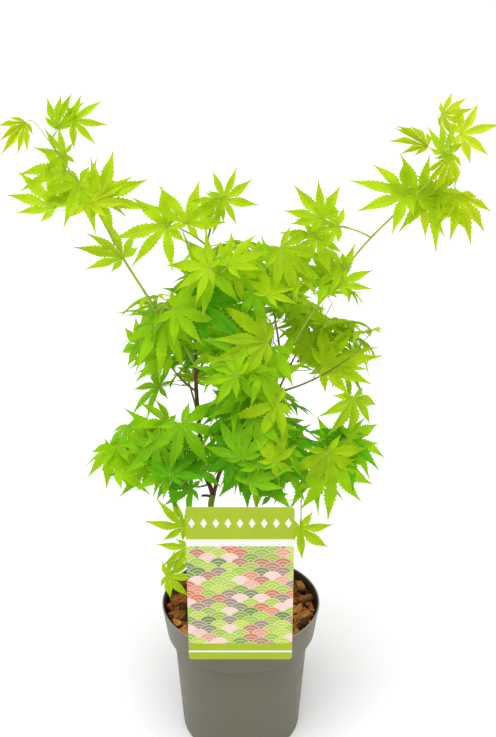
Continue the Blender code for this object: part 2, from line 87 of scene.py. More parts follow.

# Compost: the fill's rings, and the bark chips that lie on it
COMPOST_RINGS = (
    (0.0640, 0.0040), (0.0696, 0.0092), (0.0780, 0.1312), (0.0860, 0.1380), (0.0895, 0.1590))
COMPOST_TOP = 0.1595
COMPOST_SIDES, TOP_RINGS = 64, 9
LUMP_HEIGHT, LUMP_SCALE = 0.0016, 90
LUMPS_FROM, LUMPS_WITHIN = 0.158, 0.99  # above this height, and inside this part of the radius
CHIP_COUNT, CRUMB_COUNT = 560, 320
CHIP_SHAPES = 7
CHIP_ROUGHNESS, CHIP_BOW = 0.13, 0.30  # as parts of its length
CHIP_END, CHIP_NARROWING = 0.25, (0.35, 0.50)  # where its narrow end starts, and its width
CHIP_LENGTHS, CRUMB_LENGTHS = (0.008, 0.020), (0.003, 0.007)
CHIP_WIDTHS, CHIP_DEPTHS = (0.35, 0.70), (0.14, 0.30)  # as parts of the length
CHIP_LEVELS, CRUMB_LEVELS = (0.1598, 0.1660), (0.1600, 0.1650)
CHIP_CLEAR, CRUMB_CLEAR = 0.011, 0.007  # how far the middle keeps from the trunk's
CHIP_TILTS = (0.20, 0.16)  # in radians, about its length and across it
CHIP_RING = 0.0885  # how far out a chip's middle may lie
# How much higher chips lie against the wall at the back, what part of that at the sides,
# and how steeply they rise towards the wall. At the front they lie lower instead.
CHIP_BANK, SIDE_BANK, BANK_POWER = 0.0065, 0.25, 4
WALL_HEIGHTS, WALL_RADII = (0.1377, 0.1725), (0.0868, 0.0917)  # the wall's inside
CHIP_GAP, CHIP_TOP = 0.0006, 0.1740

# Card: a plate in front of the rim with a tongue over the lip
CARD_WIDTH, CARD_LOW, CARD_HIGH = 0.1155, 0.1606, 0.3567
CARD_THICKNESS = 0.0008
CARD_BACK = -0.0938
CARD_CORNER, CORNER_SEGMENTS = 0.0040, 6
CARD_EDGE = 0.00012  # how much its edges are rounded
TONGUE_WIDTH, TONGUE_INSIDE, TONGUE_LOW = 0.024, 0.0878, 0.1660
TONGUE_CLEAR = -0.078  # in front of this line no chip lies beside the tongue
RIM_TOP, RIM_GAP = 0.175, 0.0003

# Trunk: its centre line, its radius at foot and top, and its flare
TRUNK_ROUTE = (
    (-0.012, 0.006, 0.159), (-0.012, 0.006, 0.172), (-0.018, 0.005, 0.205),
    (-0.027, 0.002, 0.255), (-0.034, 0.000, 0.298), (-0.0315, 0.000, 0.319))
TRUNK_FOOT_RADIUS, TRUNK_TOP_RADIUS = 0.0050, 0.0034
GROUND, FLARE_HEIGHT, FLARE_SPREAD = 0.163, 0.013, 0.0023
RIDGE_COUNT, RIDGE_SPREAD = 5, 0.30

# Each kind of wood: its tube's sides and steps, and its relief's nodes and depth
TRUNK_SIDES, TRUNK_STEP, TRUNK_RELIEF = 24, 0.0022, (0.046, 0.09)
MAIN_SIDES, MAIN_STEP, MAIN_RELIEF = 14, 0.004, (0.041, 0.05)
SIDE_SIDES, SIDE_STEP, SIDE_RELIEF = 10, 0.005, (0.034, 0.04)
SNAG_SIDES, SNAG_STEP, SNAG_RELIEF = 10, 0.002, (0.030, 0.08)
TWIG_SIDES, TWIG_STEP, TWIG_RELIEF = 6, 0.005, (0.022, 0.05)
FIRST_MAIN_RELIEF, FIRST_SIDE_RELIEF = 2, 9  # numbers that keep two limbs' reliefs apart
NODE_HEIGHT, NODE_LENGTH = 0.22, 0.0016  # the ring that stands out at every node

# Limbs whose whole course shows: radius at foot and tip, and the centre line's points
MAIN_LIMBS = {
    "left_bough": (0.0027, 0.0021, (
        (-0.0315, 0.000, 0.315), (-0.0345, 0.001, 0.327), (-0.039, 0.002, 0.338),
        (-0.042, 0.003, 0.355), (-0.045, 0.004, 0.388), (-0.048, 0.004, 0.437),
        (-0.049, 0.003, 0.481))),
    "right_bough": (0.0024, 0.0016, (
        (-0.0310, 0.000, 0.316), (-0.029, -0.001, 0.326), (-0.021, -0.004, 0.354),
        (-0.002, -0.006, 0.378), (0.020, -0.005, 0.397), (0.0325, -0.003, 0.413),
        (0.035, -0.002, 0.437), (0.039, 0.000, 0.460), (0.0475, 0.002, 0.488))),
    "left_long_shoot": (0.0018, 0.0008, (
        (-0.049, 0.003, 0.478), (-0.062, 0.000, 0.505), (-0.080, -0.006, 0.531),
        (-0.102, -0.011, 0.571), (-0.121, -0.013, 0.606), (-0.146, -0.016, 0.659),
        (-0.186, -0.020, 0.726))),
    "right_long_shoot": (0.0015, 0.0008, (
        (0.0475, 0.002, 0.485), (0.0745, -0.002, 0.537), (0.095, -0.004, 0.566),
        (0.115, -0.006, 0.598), (0.135, -0.008, 0.625), (0.174, -0.010, 0.667),
        (0.200, -0.010, 0.693), (0.210, -0.010, 0.722))),
    "upper_bough": (0.0017, 0.0008, (
        (-0.049, 0.003, 0.477), (-0.046, 0.007, 0.520), (-0.040, 0.007, 0.565),
        (-0.033, 0.005, 0.620), (-0.022, 0.002, 0.652), (-0.010, 0.001, 0.664))),
    "centre_bough": (0.0014, 0.0008, (
        (0.020, -0.005, 0.397), (0.013, 0.012, 0.440), (0.003, 0.016, 0.510),
        (-0.012, 0.000, 0.557), (-0.020, -0.018, 0.580))),
}

# Limbs that bow out to the middle of a mass: the wood they leave and the height where
# they leave it, the mass, that middle, the radius at the foot, and the bow
SIDE_LIMBS = {
    "upper_right_limb": ("right_bough", 0.481, (0.028, -0.022, 0.596), 0.0012, (0.000, 0.006, 0.000)),
    "top_left_limb": ("upper_bough", 0.612, (-0.084, -0.028, 0.645), 0.0010, (0.000, 0.000, 0.006)),
    "top_right_limb": ("right_long_shoot", 0.625, (0.080, -0.010, 0.635), 0.0010, (0.000, 0.000, 0.006)),
    "left_limb": ("left_bough", 0.446, (-0.089, -0.016, 0.512), 0.0013, (0.000, -0.004, -0.006)),
    "left_middle_limb": ("left_bough", 0.388, (-0.086, -0.028, 0.422), 0.0013, (0.000, 0.000, -0.004)),
    "low_left_limb": ("left_bough", 0.346, (-0.128, -0.010, 0.362), 0.0014, (0.000, 0.000, -0.004)),
    "low_front_limb": ("left_bough", 0.331, (-0.062, -0.050, 0.360), 0.0012, (0.000, 0.000, -0.004)),
    "low_centre_limb": ("right_bough", 0.378, (0.011, -0.050, 0.388), 0.0012, (0.000, 0.000, -0.003)),
    "heart_limb": ("right_bough", 0.437, (0.004, -0.044, 0.486), 0.0012, (0.004, 0.000, -0.006)),
    "right_limb": ("right_bough", 0.446, (0.118, -0.008, 0.491), 0.0013, (0.000, 0.000, -0.006)),
    "low_right_limb": ("right_bough", 0.397, (0.108, -0.012, 0.384), 0.0014, (0.000, 0.000, 0.004)),
    "back_left_bough": ("left_bough", 0.362, (-0.078, 0.090, 0.470), 0.0016, (0.008, 0.006, -0.010)),
    "back_right_bough": ("right_bough", 0.424, (0.078, 0.092, 0.480), 0.0015, (-0.006, 0.006, -0.010)),
    "back_top_limb": ("left_bough", 0.464, (-0.004, 0.070, 0.548), 0.0014, (0.000, 0.004, -0.008)),
    "back_low_limb": ("right_bough", 0.354, (0.004, 0.086, 0.378), 0.0014, (0.000, 0.000, -0.006)),
    "low_left_twig": ("trunk", 0.292, (-0.069, -0.050, 0.264), 0.0011, (0.004, -0.004, 0.014)),
    "low_right_twig": ("low_right_limb", 0.394, (0.067, -0.050, 0.300), 0.0009, (0.000, -0.008, 0.010)),
}
SIDE_TIP_RADIUS = 0.0007
GREEN_BELOW = 0.0012  # limbs that start thinner than this are still green

# Broken ends and a bare twig: a stub by the fork, a knot, a snag, and a twig in the right fork
SNAGS = (
    ((-0.0330, 0.000, 0.3150), (-0.0445, -0.003, 0.3180), 0.0017, 0.0013),
    ((-0.0475, 0.004, 0.4812), (-0.0535, 0.001, 0.4775), 0.0016, 0.0010),
    ((0.0355, -0.001, 0.4470), (0.0385, -0.007, 0.4485), 0.0019, 0.0015),
    ((0.0470, 0.001, 0.4860), (0.0352, -0.006, 0.5090), 0.0009, 0.0005),
)
SNAG_BOW = (0.0, 0.0, 0.001)

# Leaves: seven lobes round the stalk's end. Angles run from the middle lobe, lengths
# are parts of the leaf's size.
LOBE_ANGLES = (-132, -84, -42, 0, 42, 84, 132)
LOBE_LENGTHS = (0.42, 0.78, 0.96, 1.00, 0.96, 0.78, 0.42)
OPENING_RANGE, DROOP_RANGE = (0.68, 1.08), (0.04, 0.42)
LOBE_SWAY, LOBE_STRETCH = 3.5, (0.88, 1.08)  # in degrees, and as a part of its length
LOBE_WIDTHS, LOBE_BOW, LOBE_CURLS = (0.85, 1.20), 0.05, (-0.02, 0.14)
FOLDS = (10, 24)  # in degrees
BLADE_MIDDLE = 0.3  # how far out the blade's middle lies, as a part of its size
TINTS = ("gold", "lime", "fresh", "green", "deep_and_shaded")
TINT_CHANCE = 0.27  # how far a leaf's tint strays from its neighbours'

# Each mass: how many leaves grow in it, and their size in mm
CROWN = {
    "left_tip_leaves": (4, 41), "left_upper_leaves": (5, 66), "left_lower_leaves": (3, 66),
    "top_left_leaves": (2, 64), "top_leaves": (2, 48), "upper_front_leaves": (9, 64),
    "upper_right_leaves": (5, 58), "right_base_leaves": (3, 54), "top_right_leaves": (3, 56),
    "right_upper_leaves": (5, 62), "right_tip_leaves": (5, 47), "left_leaves": (10, 64),
    "left_middle_leaves": (8, 60), "low_left_leaves": (9, 64), "low_front_leaves": (7, 56),
    "heart_leaves": (19, 66), "low_centre_leaves": (17, 62), "right_leaves": (7, 68),
    "low_right_leaves": (7, 68), "left_sprig_leaf": (3, 58), "right_sprig_leaf": (1, 62),
    "back_left_leaves": (34, 52), "back_right_leaves": (34, 52), "back_top_leaves": (36, 50),
    "back_low_leaves": (30, 50),
}
FLAT_MASS = 0.40  # a mass thinner than this part of its width is flat
CANDIDATES = 90  # ways tried for each leaf, of which the best is kept
NEED_PLACES = 260  # places in each mass that need a leaf near them
OUTER_NEED = 4.0  # how much more the outermost places need than the middle
NEED_REACH = 0.011  # how near a lobe must come to meet a place's need
NEED_MARGIN = 0.025  # how far past its own mass a leaf counts
NEED_MET = 0.90  # what part of the need a lobe right at the place meets
LOBE_SPOTS = (0.35, 0.65, 0.95)  # where along a lobe its nearness is measured
AWAY_PULL = 0.20  # how much it helps a leaf to point away from the wood
LEAF_SPACING, CROWDING = 0.60, 0.85  # how far apart blades keep, as a part of their size
CROWN_SLACK = (0.011, 0.006, 0.011)  # how far a lobe may stray past the whole model's box

# Openings in the crown, seen from the front and a little above: the middle's x and z where
# the sight line meets the trunk's plane, and half the width and height
OPENINGS = {
    "beside the left bough": ((-0.058, 0.442), (0.022, 0.020)),
    "under the right fork": ((0.078, 0.456), (0.018, 0.018)),
    "in the right fork": ((0.034, 0.497), (0.013, 0.011)),
    "by the trunk's top": ((-0.038, 0.326), (0.010, 0.016)),
    "right of the long shoot": ((0.121, 0.549), (0.018, 0.011)),
    "between the upper sprays": ((0.012, 0.642), (0.012, 0.012)),
    "left of the upper bough": ((-0.086, 0.583), (0.012, 0.014)),
}
SIGHT_SLOPE = 0.434  # how much a sight line falls for each metre back

# Seeds for what is left to chance
MULCH_SEED, GROWTH_SEED, NEED_SEED, TWIG_SEED = 7, 41, 17, 5

# Twigs and stalks
TWIG_RADIUS, TWIG_TIP_RADIUS = 0.0012, 0.0005
TWIG_THINNING = 0.8  # a twig's foot, as a part of the wood it leaves
TWIG_SAG, TWIG_WAVER = 0.05, 0.05  # as parts of its length
LONGEST_STALK, TWIG_STANDOFF = 0.040, 0.024
STALK_SIDES, STALK_STEPS = 5, 8
STALK_RADIUS, STALK_TIP_RADIUS = 0.00060, 0.00042
STALK_LIFT, STALK_BEHIND = 0.35, 0.25  # how it rises at its foot and drops behind the blade
STALK_LEAVE, STALK_ARRIVE = 0.35, 0.36  # the arms of its curve, as parts of its length
STALK_BACK = 0.6  # how far back from the blade its foot is looked for, in standoffs

# Growth
LEAF_SLACK, FLAT_SLACK, BACK_SLACK = 0.014, 0.020, 0.024  # how far lobes may leave the mass
BACK_SPARE, BEHIND = 0.022, 0.015  # how far past its box a mass is filled, and behind where
LEAF_SIZES, SIZE_GIVEN_UP = (0.84, 1.12), 0.2  # factors on the size, and what late tries lose
# How far out a place in the crown is: its middle's height, and what counts as one unit
# sideways and upwards, where the latter counts a little less
CROWN_MIDDLE, CROWN_SPREAD, CROWN_RISE, RISE_SHARE = 0.45, 0.20, 0.30, 0.9
YOUNG_FROM, YOUNG_SHARE = 1.70, 0.50  # how far out the youngest leaves grow, and their share
FURLED_OPENING, FURLED_FOLD = 0.58, 36  # a furled leaf's opening, and its added fold in degrees
FLAT_DROOP = 0.60  # droop in a flat mass, as a part of the usual
FRONT_LIGHT = Vector((0.0, -1.05, 0.0))
WANDER = 0.85  # how far a leaf strays from straight away from the wood
TERMINAL_SPREAD = 0.005  # how near the limb's end the first leaf of a mass sits
TERMINAL_BACK = 0.55  # and how far back along the limb, as a part of its size
TERMINAL_WANDER = 0.45  # how much less it strays from the limb's own way
FLAT_TURN, ROUND_TURN = 0.42, 0.32  # how far leaves turn in a flat mass and in a rounded one
FLAT_LEVEL, ROUND_LEVEL = 0.95, 0.75  # how much each is laid into its own plane
ROUND_OUT, ROUND_LEAN, ROUND_RISE = 2, 0.5, 0.5  # how leaves in a rounded mass point outwards
LIT_BEFORE = 0.03  # leaves in front of this line face the front light
SPRIG_TOP = 0.320  # leaves lower than this grow on the two young sprigs beside the card
GOLD_FROM, GOLD_LEVEL = 0.60, 1.62  # the height, and how far out, where the youngest start
# The tints darken further in and lower down, partly as painted shade.
TINT_LEVELS = ((0.75, "lime"), (0.42, "fresh"), (0.10, "green"))
SUNNY_SIDE = 0.40  # leaves are yellower towards the right as painted sunlight, by one level over this distance
MM = 0.001

# Lobe: widest half width, its outline from foot to tip, and its teeth
LOBE_WIDTH = 0.108
LOBE_PROFILE = (
    (0, 0.11, 0.23, 0.33, 0.42, 0.51, 0.60, 0.69, 0.78, 0.88, 1),
    (0.50, 0.74, 0.88, 0.96, 1.02, 0.99, 0.84, 0.60, 0.36, 0.16, 0))
SMOOTH_STATIONS = (0.11, 0.22)  # corners of the outline below the teeth
TEETH_FROM, TEETH_TO = 0.30, 0.92
LOBE_TEETH, LOBE_BENDS = 8, (2, 5)  # teeth a side, and those at whose foot the midrib bends
BASAL_TEETH, BASAL_BENDS = 4, (2,)
TOOTH_OUT, TOOTH_IN, TOOTH_LEAN = 1.13, 0.88, 0.62  # a tooth's point lies this far along it
WIDEST_GAP = math.radians(60)  # room beside a lobe with no neighbour
RIB_STEPS = ((0.0, 0.00030), (0.45, 0.00019), (0.86, 0.00009))
RIB_SIDES, RIB_SIZE = 3, 0.05  # the steps' radii are those in a leaf of this size

# Colours
POT_COLOUR = (0.113, 0.105, 0.069)
# Painted shade for the inside of the pot's wall
INSIDE_SHADE_COLOUR = (0.060, 0.036, 0.020)
LIP_HIGHLIGHT_COLOUR, LIP_FOOT = (0.26, 0.25, 0.20), 0.1738  # the painted highlight along the lip's top edge
# The inner face above the ledge, which is painted in shade, lies within this radius, which grows by the
# slope
LEDGE_HEIGHT, INSIDE_AT_LEDGE, INSIDE_SLOPE = 0.1390, 0.0876, 0.140
COMPOST_COLOUR, COMPOST_LUMP_COLOUR = (0.014, 0.007, 0.004), (0.075, 0.030, 0.013)
CHIP_COLOURS = {
    "bark_chips_red": (0.42, 0.130, 0.026), "bark_chips_orange": (0.58, 0.250, 0.055),
    "bark_chips_brown": (0.27, 0.115, 0.030), "bark_chips_dark": (0.085, 0.032, 0.010)}
BAND_GREEN = (0.33, 0.44, 0.018)
TRUNK_COLOUR = (0.22, 0.32, 0.010)
BOUGH_COLOUR = (0.14, 0.045, 0.017)
YOUNG_BOUGH_COLOUR, GREENING = (0.22, 0.27, 0.030), (0.44, 0.56)  # and the heights it comes in
SIDE_BOUGH_COLOUR = (0.19, 0.20, 0.030)
SHOOT_COLOUR = (0.40, 0.56, 0.035)
TIP_COLOUR = (0.36, 0.26, 0.04)
# The darkest greens stand partly for painted shade inside the crown.
TINT_COLOURS = {
    "gold": ((0.50, 0.62, 0.012), (0.66, 0.80, 0.018)),
    "lime": ((0.38, 0.59, 0.006), (0.52, 0.74, 0.008)),
    "fresh": ((0.30, 0.57, 0.005), (0.45, 0.75, 0.006)),
    "green": ((0.22, 0.52, 0.005), (0.35, 0.69, 0.005)),
    "deep_and_shaded": ((0.100, 0.39, 0.004), (0.19, 0.57, 0.004))}
LEAF_THINNESS = 0.35
RIB_COLOURS = (0.30, 0.50, 0.02), (0.42, 0.62, 0.05)
TWIG_COLOURS = (0.25, 0.30, 0.035), (0.22, 0.11, 0.03)
STALK_COLOURS = (0.36, 0.50, 0.04), (0.40, 0.26, 0.05)
BUMP_STRENGTH = 0.6
BAND_FOOT, FOOTER_TOP, STRIP_WIDTH = 0.80, 0.11, 0.045  # as parts of the card's height
FOOTER_LINE = 0.006
SCALLOPS_ACROSS, DIAMONDS_ACROSS = 5, 9
RINGS_EACH, RING_EDGE, RING_PALENESS = 3.0, 0.72, 0.45
DIAMOND_SIZE, DIAMOND_TALLNESS = 0.28, 0.6
SCALLOP_COLOURS = (
    (0.00, (0.30, 0.48, 0.02)), (0.28, (0.50, 0.64, 0.06)), (0.50, (0.13, 0.25, 0.02)),
    (0.62, (0.30, 0.24, 0.18)), (0.80, (0.70, 0.17, 0.07)), (0.90, (0.80, 0.58, 0.52)))
CARD_WHITE, CARD_BACK_COLOUR = (0.78, 0.80, 0.74), (0.80, 0.80, 0.77)

# Studio
FLOOR_SIZE = 80
WORLD_LOW, WORLD_HIGH = 1.0, 0.45  # brightness near the horizon and above
HORIZON_TOP, SKY_FOOT = math.sin(math.radians(12)), math.sin(math.radians(35))
SUN_POWER, SUN_HEIGHT, SUN_SOFTNESS = 2.6, math.radians(75), math.radians(50)
SUN_SIDE = math.radians(-12)  # how far it stands round from the front


def everything_deselected():
    if bpy.context.mode != "OBJECT":
        bpy.ops.object.mode_set(mode="OBJECT")
    for other in list(bpy.context.selected_objects):
        other.select_set(False)


def picked(piece):
    """Selects one piece and nothing else."""
    everything_deselected()
    piece.select_set(True)
    bpy.context.view_layer.objects.active = piece


# Materials


def operator(operation, reflected=False):
    """A method of Value that adds a Math node for it and, where there is one, a second value."""

    def method(value, *others):
        values = (value, *others)
        return value.maths(operation, *(values[::-1] if reflected else values))

    return method


class Value:
    """A socket in a material. Arithmetic on it adds the Math nodes."""

    __add__, __radd__ = operator("ADD"), operator("ADD", reflected=True)
    __sub__, __rsub__ = operator("SUBTRACT"), operator("SUBTRACT", reflected=True)
    __mul__, __rmul__ = operator("MULTIPLY"), operator("MULTIPLY", reflected=True)
    __truediv__, __abs__ = operator("DIVIDE"), operator("ABSOLUTE")
    __lt__, __gt__ = operator("LESS_THAN"), operator("GREATER_THAN")
    root, most = operator("SQRT"), operator("MAXIMUM")
    whole, part = operator("FLOOR"), operator("FRACT")

    def __init__(self, tree, socket):
        self.tree = tree
        self.socket = socket

    def node(self, kind, settings=None, inputs=None, output=0):
        """Any other node, from its type, its settings, and values or links by socket."""
        made = self.tree.nodes.new("ShaderNode" + kind)
        for name, setting in (settings or {}).items():
            if name == "stops":
                ramp = made.color_ramp
                while len(ramp.elements) < len(setting):
                    ramp.elements.new(0.5)
                for stop, (place, colour) in zip(ramp.elements, setting):
                    stop.position = place
                    stop.color = (*colour, 1.0)
            else:
                setattr(made, name, setting)
        for key, value in (inputs or {}).items():
            if isinstance(value, Value):
                self.tree.links.new(value.socket, made.inputs[key])
            else:
                made.inputs[key].default_value = value
        return Value(self.tree, made.outputs[output])

    def maths(self, operation, *values):
        return self.node("Math", {"operation": operation}, dict(enumerate(values)))

    def between(self, low, high):
        """0 at low, 1 at high, smooth between them and level beyond."""
        return self.node(
            "MapRange", {"interpolation_type": "SMOOTHSTEP"},
            {"Value": self, "From Min": low, "From Max": high})

    def blend(self, first, second):
        """The first colour where this value is 0 and the second where it is 1."""
        return self.node(
            "Mix", {"data_type": "RGBA"},
            {0: self, 6: as_colour(first), 7: as_colour(second)}, output=2)

    def parts(self):
        split = self.node("SeparateXYZ", None, {0: self}).socket.node
        return [Value(self.tree, out) for out in split.outputs]

    def noise(self, scale, detail=2.0, stretch=(1, 1, 1)):
        place = self.node("Mapping", None, {"Vector": self, "Scale": stretch})
        return self.node("TexNoise", None, {"Vector": place, "Scale": scale, "Detail": detail})

    def cells(self, scale):
        """The distance from the middle of the nearest of scattered cells."""
        return self.node("TexVoronoi", None, {"Vector": self, "Scale": scale})


def as_colour(colour):
    return colour if isinstance(colour, Value) else (*colour, 1.0)


def finish(name, paint, thin=None, specular=0.5):
    """A material. paint gets the Object coordinates and the piece's own, and returns its
    colour, roughness, relief and the relief's depth. thin is (share, colour) of light let
    through."""
    material = bpy.data.materials.new(name)
    material.use_nodes = True
    tree = material.node_tree
    shader = tree.nodes["Principled BSDF"]
    shader.inputs["Specular IOR Level"].default_value = specular
    places = tree.nodes.new("ShaderNodeTexCoord")
    colour, roughness, relief, depth = paint(
        Value(tree, places.outputs["Object"]), Value(tree, places.outputs["UV"]))
    bump = {"Strength": BUMP_STRENGTH, "Distance": depth, "Height": relief}
    varying = {"Base Color": as_colour(colour), "Roughness": roughness,
               "Normal": relief.node("Bump", None, bump)}
    for socket, value in varying.items():
        if isinstance(value, Value):
            tree.links.new(value.socket, shader.inputs[socket])
        else:
            shader.inputs[socket].default_value = value
    if thin:
        share, light = thin
        solid = Value(tree, shader.outputs[0])
        through = solid.node("BsdfTranslucent", None, {"Color": as_colour(light)})
        both = solid.node("MixShader", None, {0: share, 1: solid, 2: through})
        tree.links.new(both.socket, tree.nodes["Material Output"].inputs["Surface"])
    return material


def shaded(colour, factor):
    return tuple(min(1.0, channel * factor) for channel in colour)


# Pot, compost and card


def pot_plastic():
    """Scuffed grey-brown plastic, with painted highlights at the lip and the ledge and painted shade
    inside.
    """

    def paint(place, _):
        mottle = place.noise(38, 4)
        streaks = place.noise(30, 3, stretch=(1, 1, 0.12))
        grain = place.noise(900, 2)
        worn = (mottle * 0.6 + streaks * 0.4).between(0.42, 0.68)
        colour = worn.blend(POT_COLOUR, shaded(POT_COLOUR, 1.10))
        across, through, height = place.parts()
        radius = (across * across + through * through).root()
        # Painted highlight: a paler band along the turn below the collar.
        ledge = (height > LEDGE_LOW) * (height < LEDGE_HIGH)
        colour = (ledge * 0.10).blend(colour, shaded(POT_COLOUR, 1.7))
        # Painted shade: the inner face above the ledge is coloured dark.
        inner_radius = INSIDE_AT_LEDGE + (height - LEDGE_HEIGHT) * INSIDE_SLOPE
        shaded_inner_face = (radius < inner_radius) * (height > LEDGE_HEIGHT)
        colour = shaded_inner_face.blend(colour, INSIDE_SHADE_COLOUR)
        # Painted highlight along the top of the lip.
        colour = (height > LIP_FOOT).blend(colour, LIP_HIGHLIGHT_COLOUR)
        return colour, 0.40 + worn * 0.16, grain * 0.5 + streaks * 0.5, 0.0004

    return finish("pot_plastic", paint, specular=0.45)


def loose_compost():
    """Dark crumbly compost with redder lumps."""

    def paint(place, _):
        lumps = place.noise(260, 5)
        colour = lumps.between(0.38, 0.66).blend(COMPOST_COLOUR, COMPOST_LUMP_COLOUR)
        return colour, 0.95, lumps, 0.003

    return finish("loose_compost", paint, specular=0.2)


def bark_chip(name, colour):
    """Chipped bark, with its grain along the length of each chip."""

    def paint(place, along):
        grain = along.noise(420, 4, stretch=(0.16, 1, 1))
        blotches = place.noise(120, 3)
        shade = (grain * 0.65 + blotches * 0.35).between(0.32, 0.68)
        return shade.blend(shaded(colour, 0.30), shaded(colour, 1.25)), 0.88, grain, 0.0012

    return finish(name, paint, specular=0.25)


def turned_up(name, rings, sides):
    """A closed turned solid: a disc, extruded ring by ring up and round the profile."""
    everything_deselected()
    radius, height = rings[0]
    bpy.ops.mesh.primitive_circle_add(
        vertices=sides, radius=radius, fill_type="NGON", location=(0, 0, height))
    piece = bpy.context.object
    piece.name = name
    bpy.ops.object.transform_apply()
    bpy.ops.object.mode_set(mode="EDIT")
    bpy.ops.mesh.select_all(action="SELECT")
    for next_radius, next_height in rings[1:]:
        bpy.ops.mesh.extrude_region_move(
            TRANSFORM_OT_translate={"value": (0, 0, next_height - height)})
        factor = next_radius / radius
        bpy.ops.transform.resize(
            value=(factor, factor, 1), center_override=(0, 0, next_height))
        radius, height = next_radius, next_height
    bpy.ops.mesh.select_all(action="SELECT")
    bpy.ops.mesh.normals_make_consistent(inside=False)
    bpy.ops.object.mode_set(mode="OBJECT")
    return piece


def apply_modifiers(piece):
    picked(piece)
    for modifier in list(piece.modifiers):
        bpy.ops.object.modifier_apply(modifier=modifier.name)


def cut_or_joined(piece, other, operation):
    step = piece.modifiers.new(operation.lower(), "BOOLEAN")
    step.operation = operation
    step.solver = "EXACT"
    step.object = other
    apply_modifiers(piece)
    bpy.data.objects.remove(other, do_unlink=True)


def smoothed(piece, degrees=30):
    picked(piece)
    bpy.ops.object.shade_smooth_by_angle(angle=math.radians(degrees))


def placed(piece, slot, material, *nodes):
    """Gives a finished piece its material and body, and hides the model's nodes it stands for. Its slot
    is not used.
    """
    piece.data.materials.clear()
    piece.data.materials.append(material)
    piece.data.name = piece.name
    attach(piece, BODY)
    if nodes:
        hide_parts(*nodes)
    return piece


def make_pot():
    """The turned shell with its drain holes cut through the floor."""
    piece = turned_up("pot_shell", POT_RINGS, POT_SIDES)
    for number in range(DRAIN_COUNT):
        angle = math.tau * (number + 0.5) / DRAIN_COUNT
        everything_deselected()
        bpy.ops.mesh.primitive_cylinder_add(
            vertices=DRAIN_SIDES, radius=DRAIN_RADIUS, depth=DRAIN_DEPTH,
            location=(DRAIN_RING * math.cos(angle), DRAIN_RING * math.sin(angle), 0.0))
        cut_or_joined(piece, bpy.context.object, "DIFFERENCE")
    smoothed(piece)
    return placed(piece, "pot", pot_plastic(), "pot")


def make_compost():
    """The fill: its top dips at the wall and is lumpy."""
    edge_radius, edge_height = COMPOST_RINGS[-1]
    top = [(edge_radius * (1 - ring / TOP_RINGS),
            edge_height + (COMPOST_TOP - edge_height) * ring / TOP_RINGS)
           for ring in range(1, TOP_RINGS)]
    piece = turned_up("compost_fill", (*COMPOST_RINGS, *top), COMPOST_SIDES)
    for vertex in piece.data.vertices:
        if vertex.co.z > LUMPS_FROM and vertex.co.xy.length < edge_radius * LUMPS_WITHIN:
            vertex.co.z += LUMP_HEIGHT * noise.noise(vertex.co * LUMP_SCALE)
    smoothed(piece, 60)
    return placed(piece, "compost", loose_compost(), "compost")


def chip_shapes():
    """A few splintered blocks, one unit long, as (corners, faces) to copy."""
    shapes = []
    for number in range(CHIP_SHAPES):
        everything_deselected()
        bpy.ops.mesh.primitive_cube_add(size=1)
        chip = bpy.context.object
        bpy.ops.object.mode_set(mode="EDIT")
        bpy.ops.mesh.select_all(action="SELECT")
        bpy.ops.mesh.subdivide(number_cuts=1)
        bpy.ops.transform.vertex_random(offset=CHIP_ROUGHNESS, seed=number)
        bpy.ops.mesh.select_all(action="DESELECT")
        bpy.ops.object.mode_set(mode="OBJECT")
        narrowest, spread = CHIP_NARROWING
        narrow_end = narrowest + spread * (number % 3) / 2
        for vertex in chip.data.vertices:
            if vertex.co.x > CHIP_END:
                vertex.co.y *= narrow_end
            vertex.co.z += CHIP_BOW * vertex.co.x ** 2
        corners = np.array([vertex.co for vertex in chip.data.vertices])
        shapes.append((corners, [tuple(face.vertices) for face in chip.data.polygons]))
        bpy.data.objects.remove(chip, do_unlink=True)
    return shapes


class Heap:
    """Corners, faces and pattern places gathered into one joined piece."""

    def __init__(self):
        self.corners = []
        self.faces = []
        self.places = []

    def add(self, corners, faces, places):
        """places holds one (u, v) for each corner of each face."""
        start = len(self.corners)
        self.corners.extend(corners)
        self.faces.extend(tuple(start + corner for corner in face) for face in faces)
        self.places.extend(places)

    def piece(self, name):
        mesh = bpy.data.meshes.new(name)
        mesh.from_pydata([tuple(corner) for corner in self.corners], [], self.faces)
        uv = mesh.uv_layers.new(name="along")
        uv.data.foreach_set("uv", np.array(self.places, np.float32).ravel())
        made = bpy.data.objects.new(name, mesh)
        bpy.context.scene.collection.objects.link(made)
        mesh.shade_smooth()
        return made


def thrown(chip, length, levels, clear, rng):
    """A chip's corners where chance throws it on the compost, or None if it can't lie there."""
    radius, angle = CHIP_RING * math.sqrt(rng.random()), rng.uniform(0, math.tau)
    spot = Vector((radius * math.cos(angle), radius * math.sin(angle)))
    bank = SIDE_BANK + (1 - SIDE_BANK) * spot.y / radius
    level = rng.uniform(*levels) + CHIP_BANK * (radius / CHIP_RING) ** BANK_POWER * bank
    turn = Matrix.Rotation(rng.uniform(0, math.tau), 3, "Z")
    roll, pitch = (Matrix.Rotation(rng.gauss(0, tilt), 3, axis) for axis, tilt in zip("XY", CHIP_TILTS))
    corners = chip @ np.array(turn @ (roll @ pitch)).T + np.array((*spot, level))
    reach = np.hypot(corners[:, 0], corners[:, 1])
    wall = np.interp(corners[:, 2], WALL_HEIGHTS, WALL_RADII) - CHIP_GAP
    inside = (reach < wall).all() and corners[:, 2].max() < CHIP_TOP
    by_trunk = (spot - Vector(TRUNK_ROUTE[0]).xy).length <= clear
    by_tongue = abs(spot.x) < TONGUE_WIDTH / 2 + length / 2 and spot.y < TONGUE_CLEAR
    return corners if inside and not by_trunk and not by_tongue else None


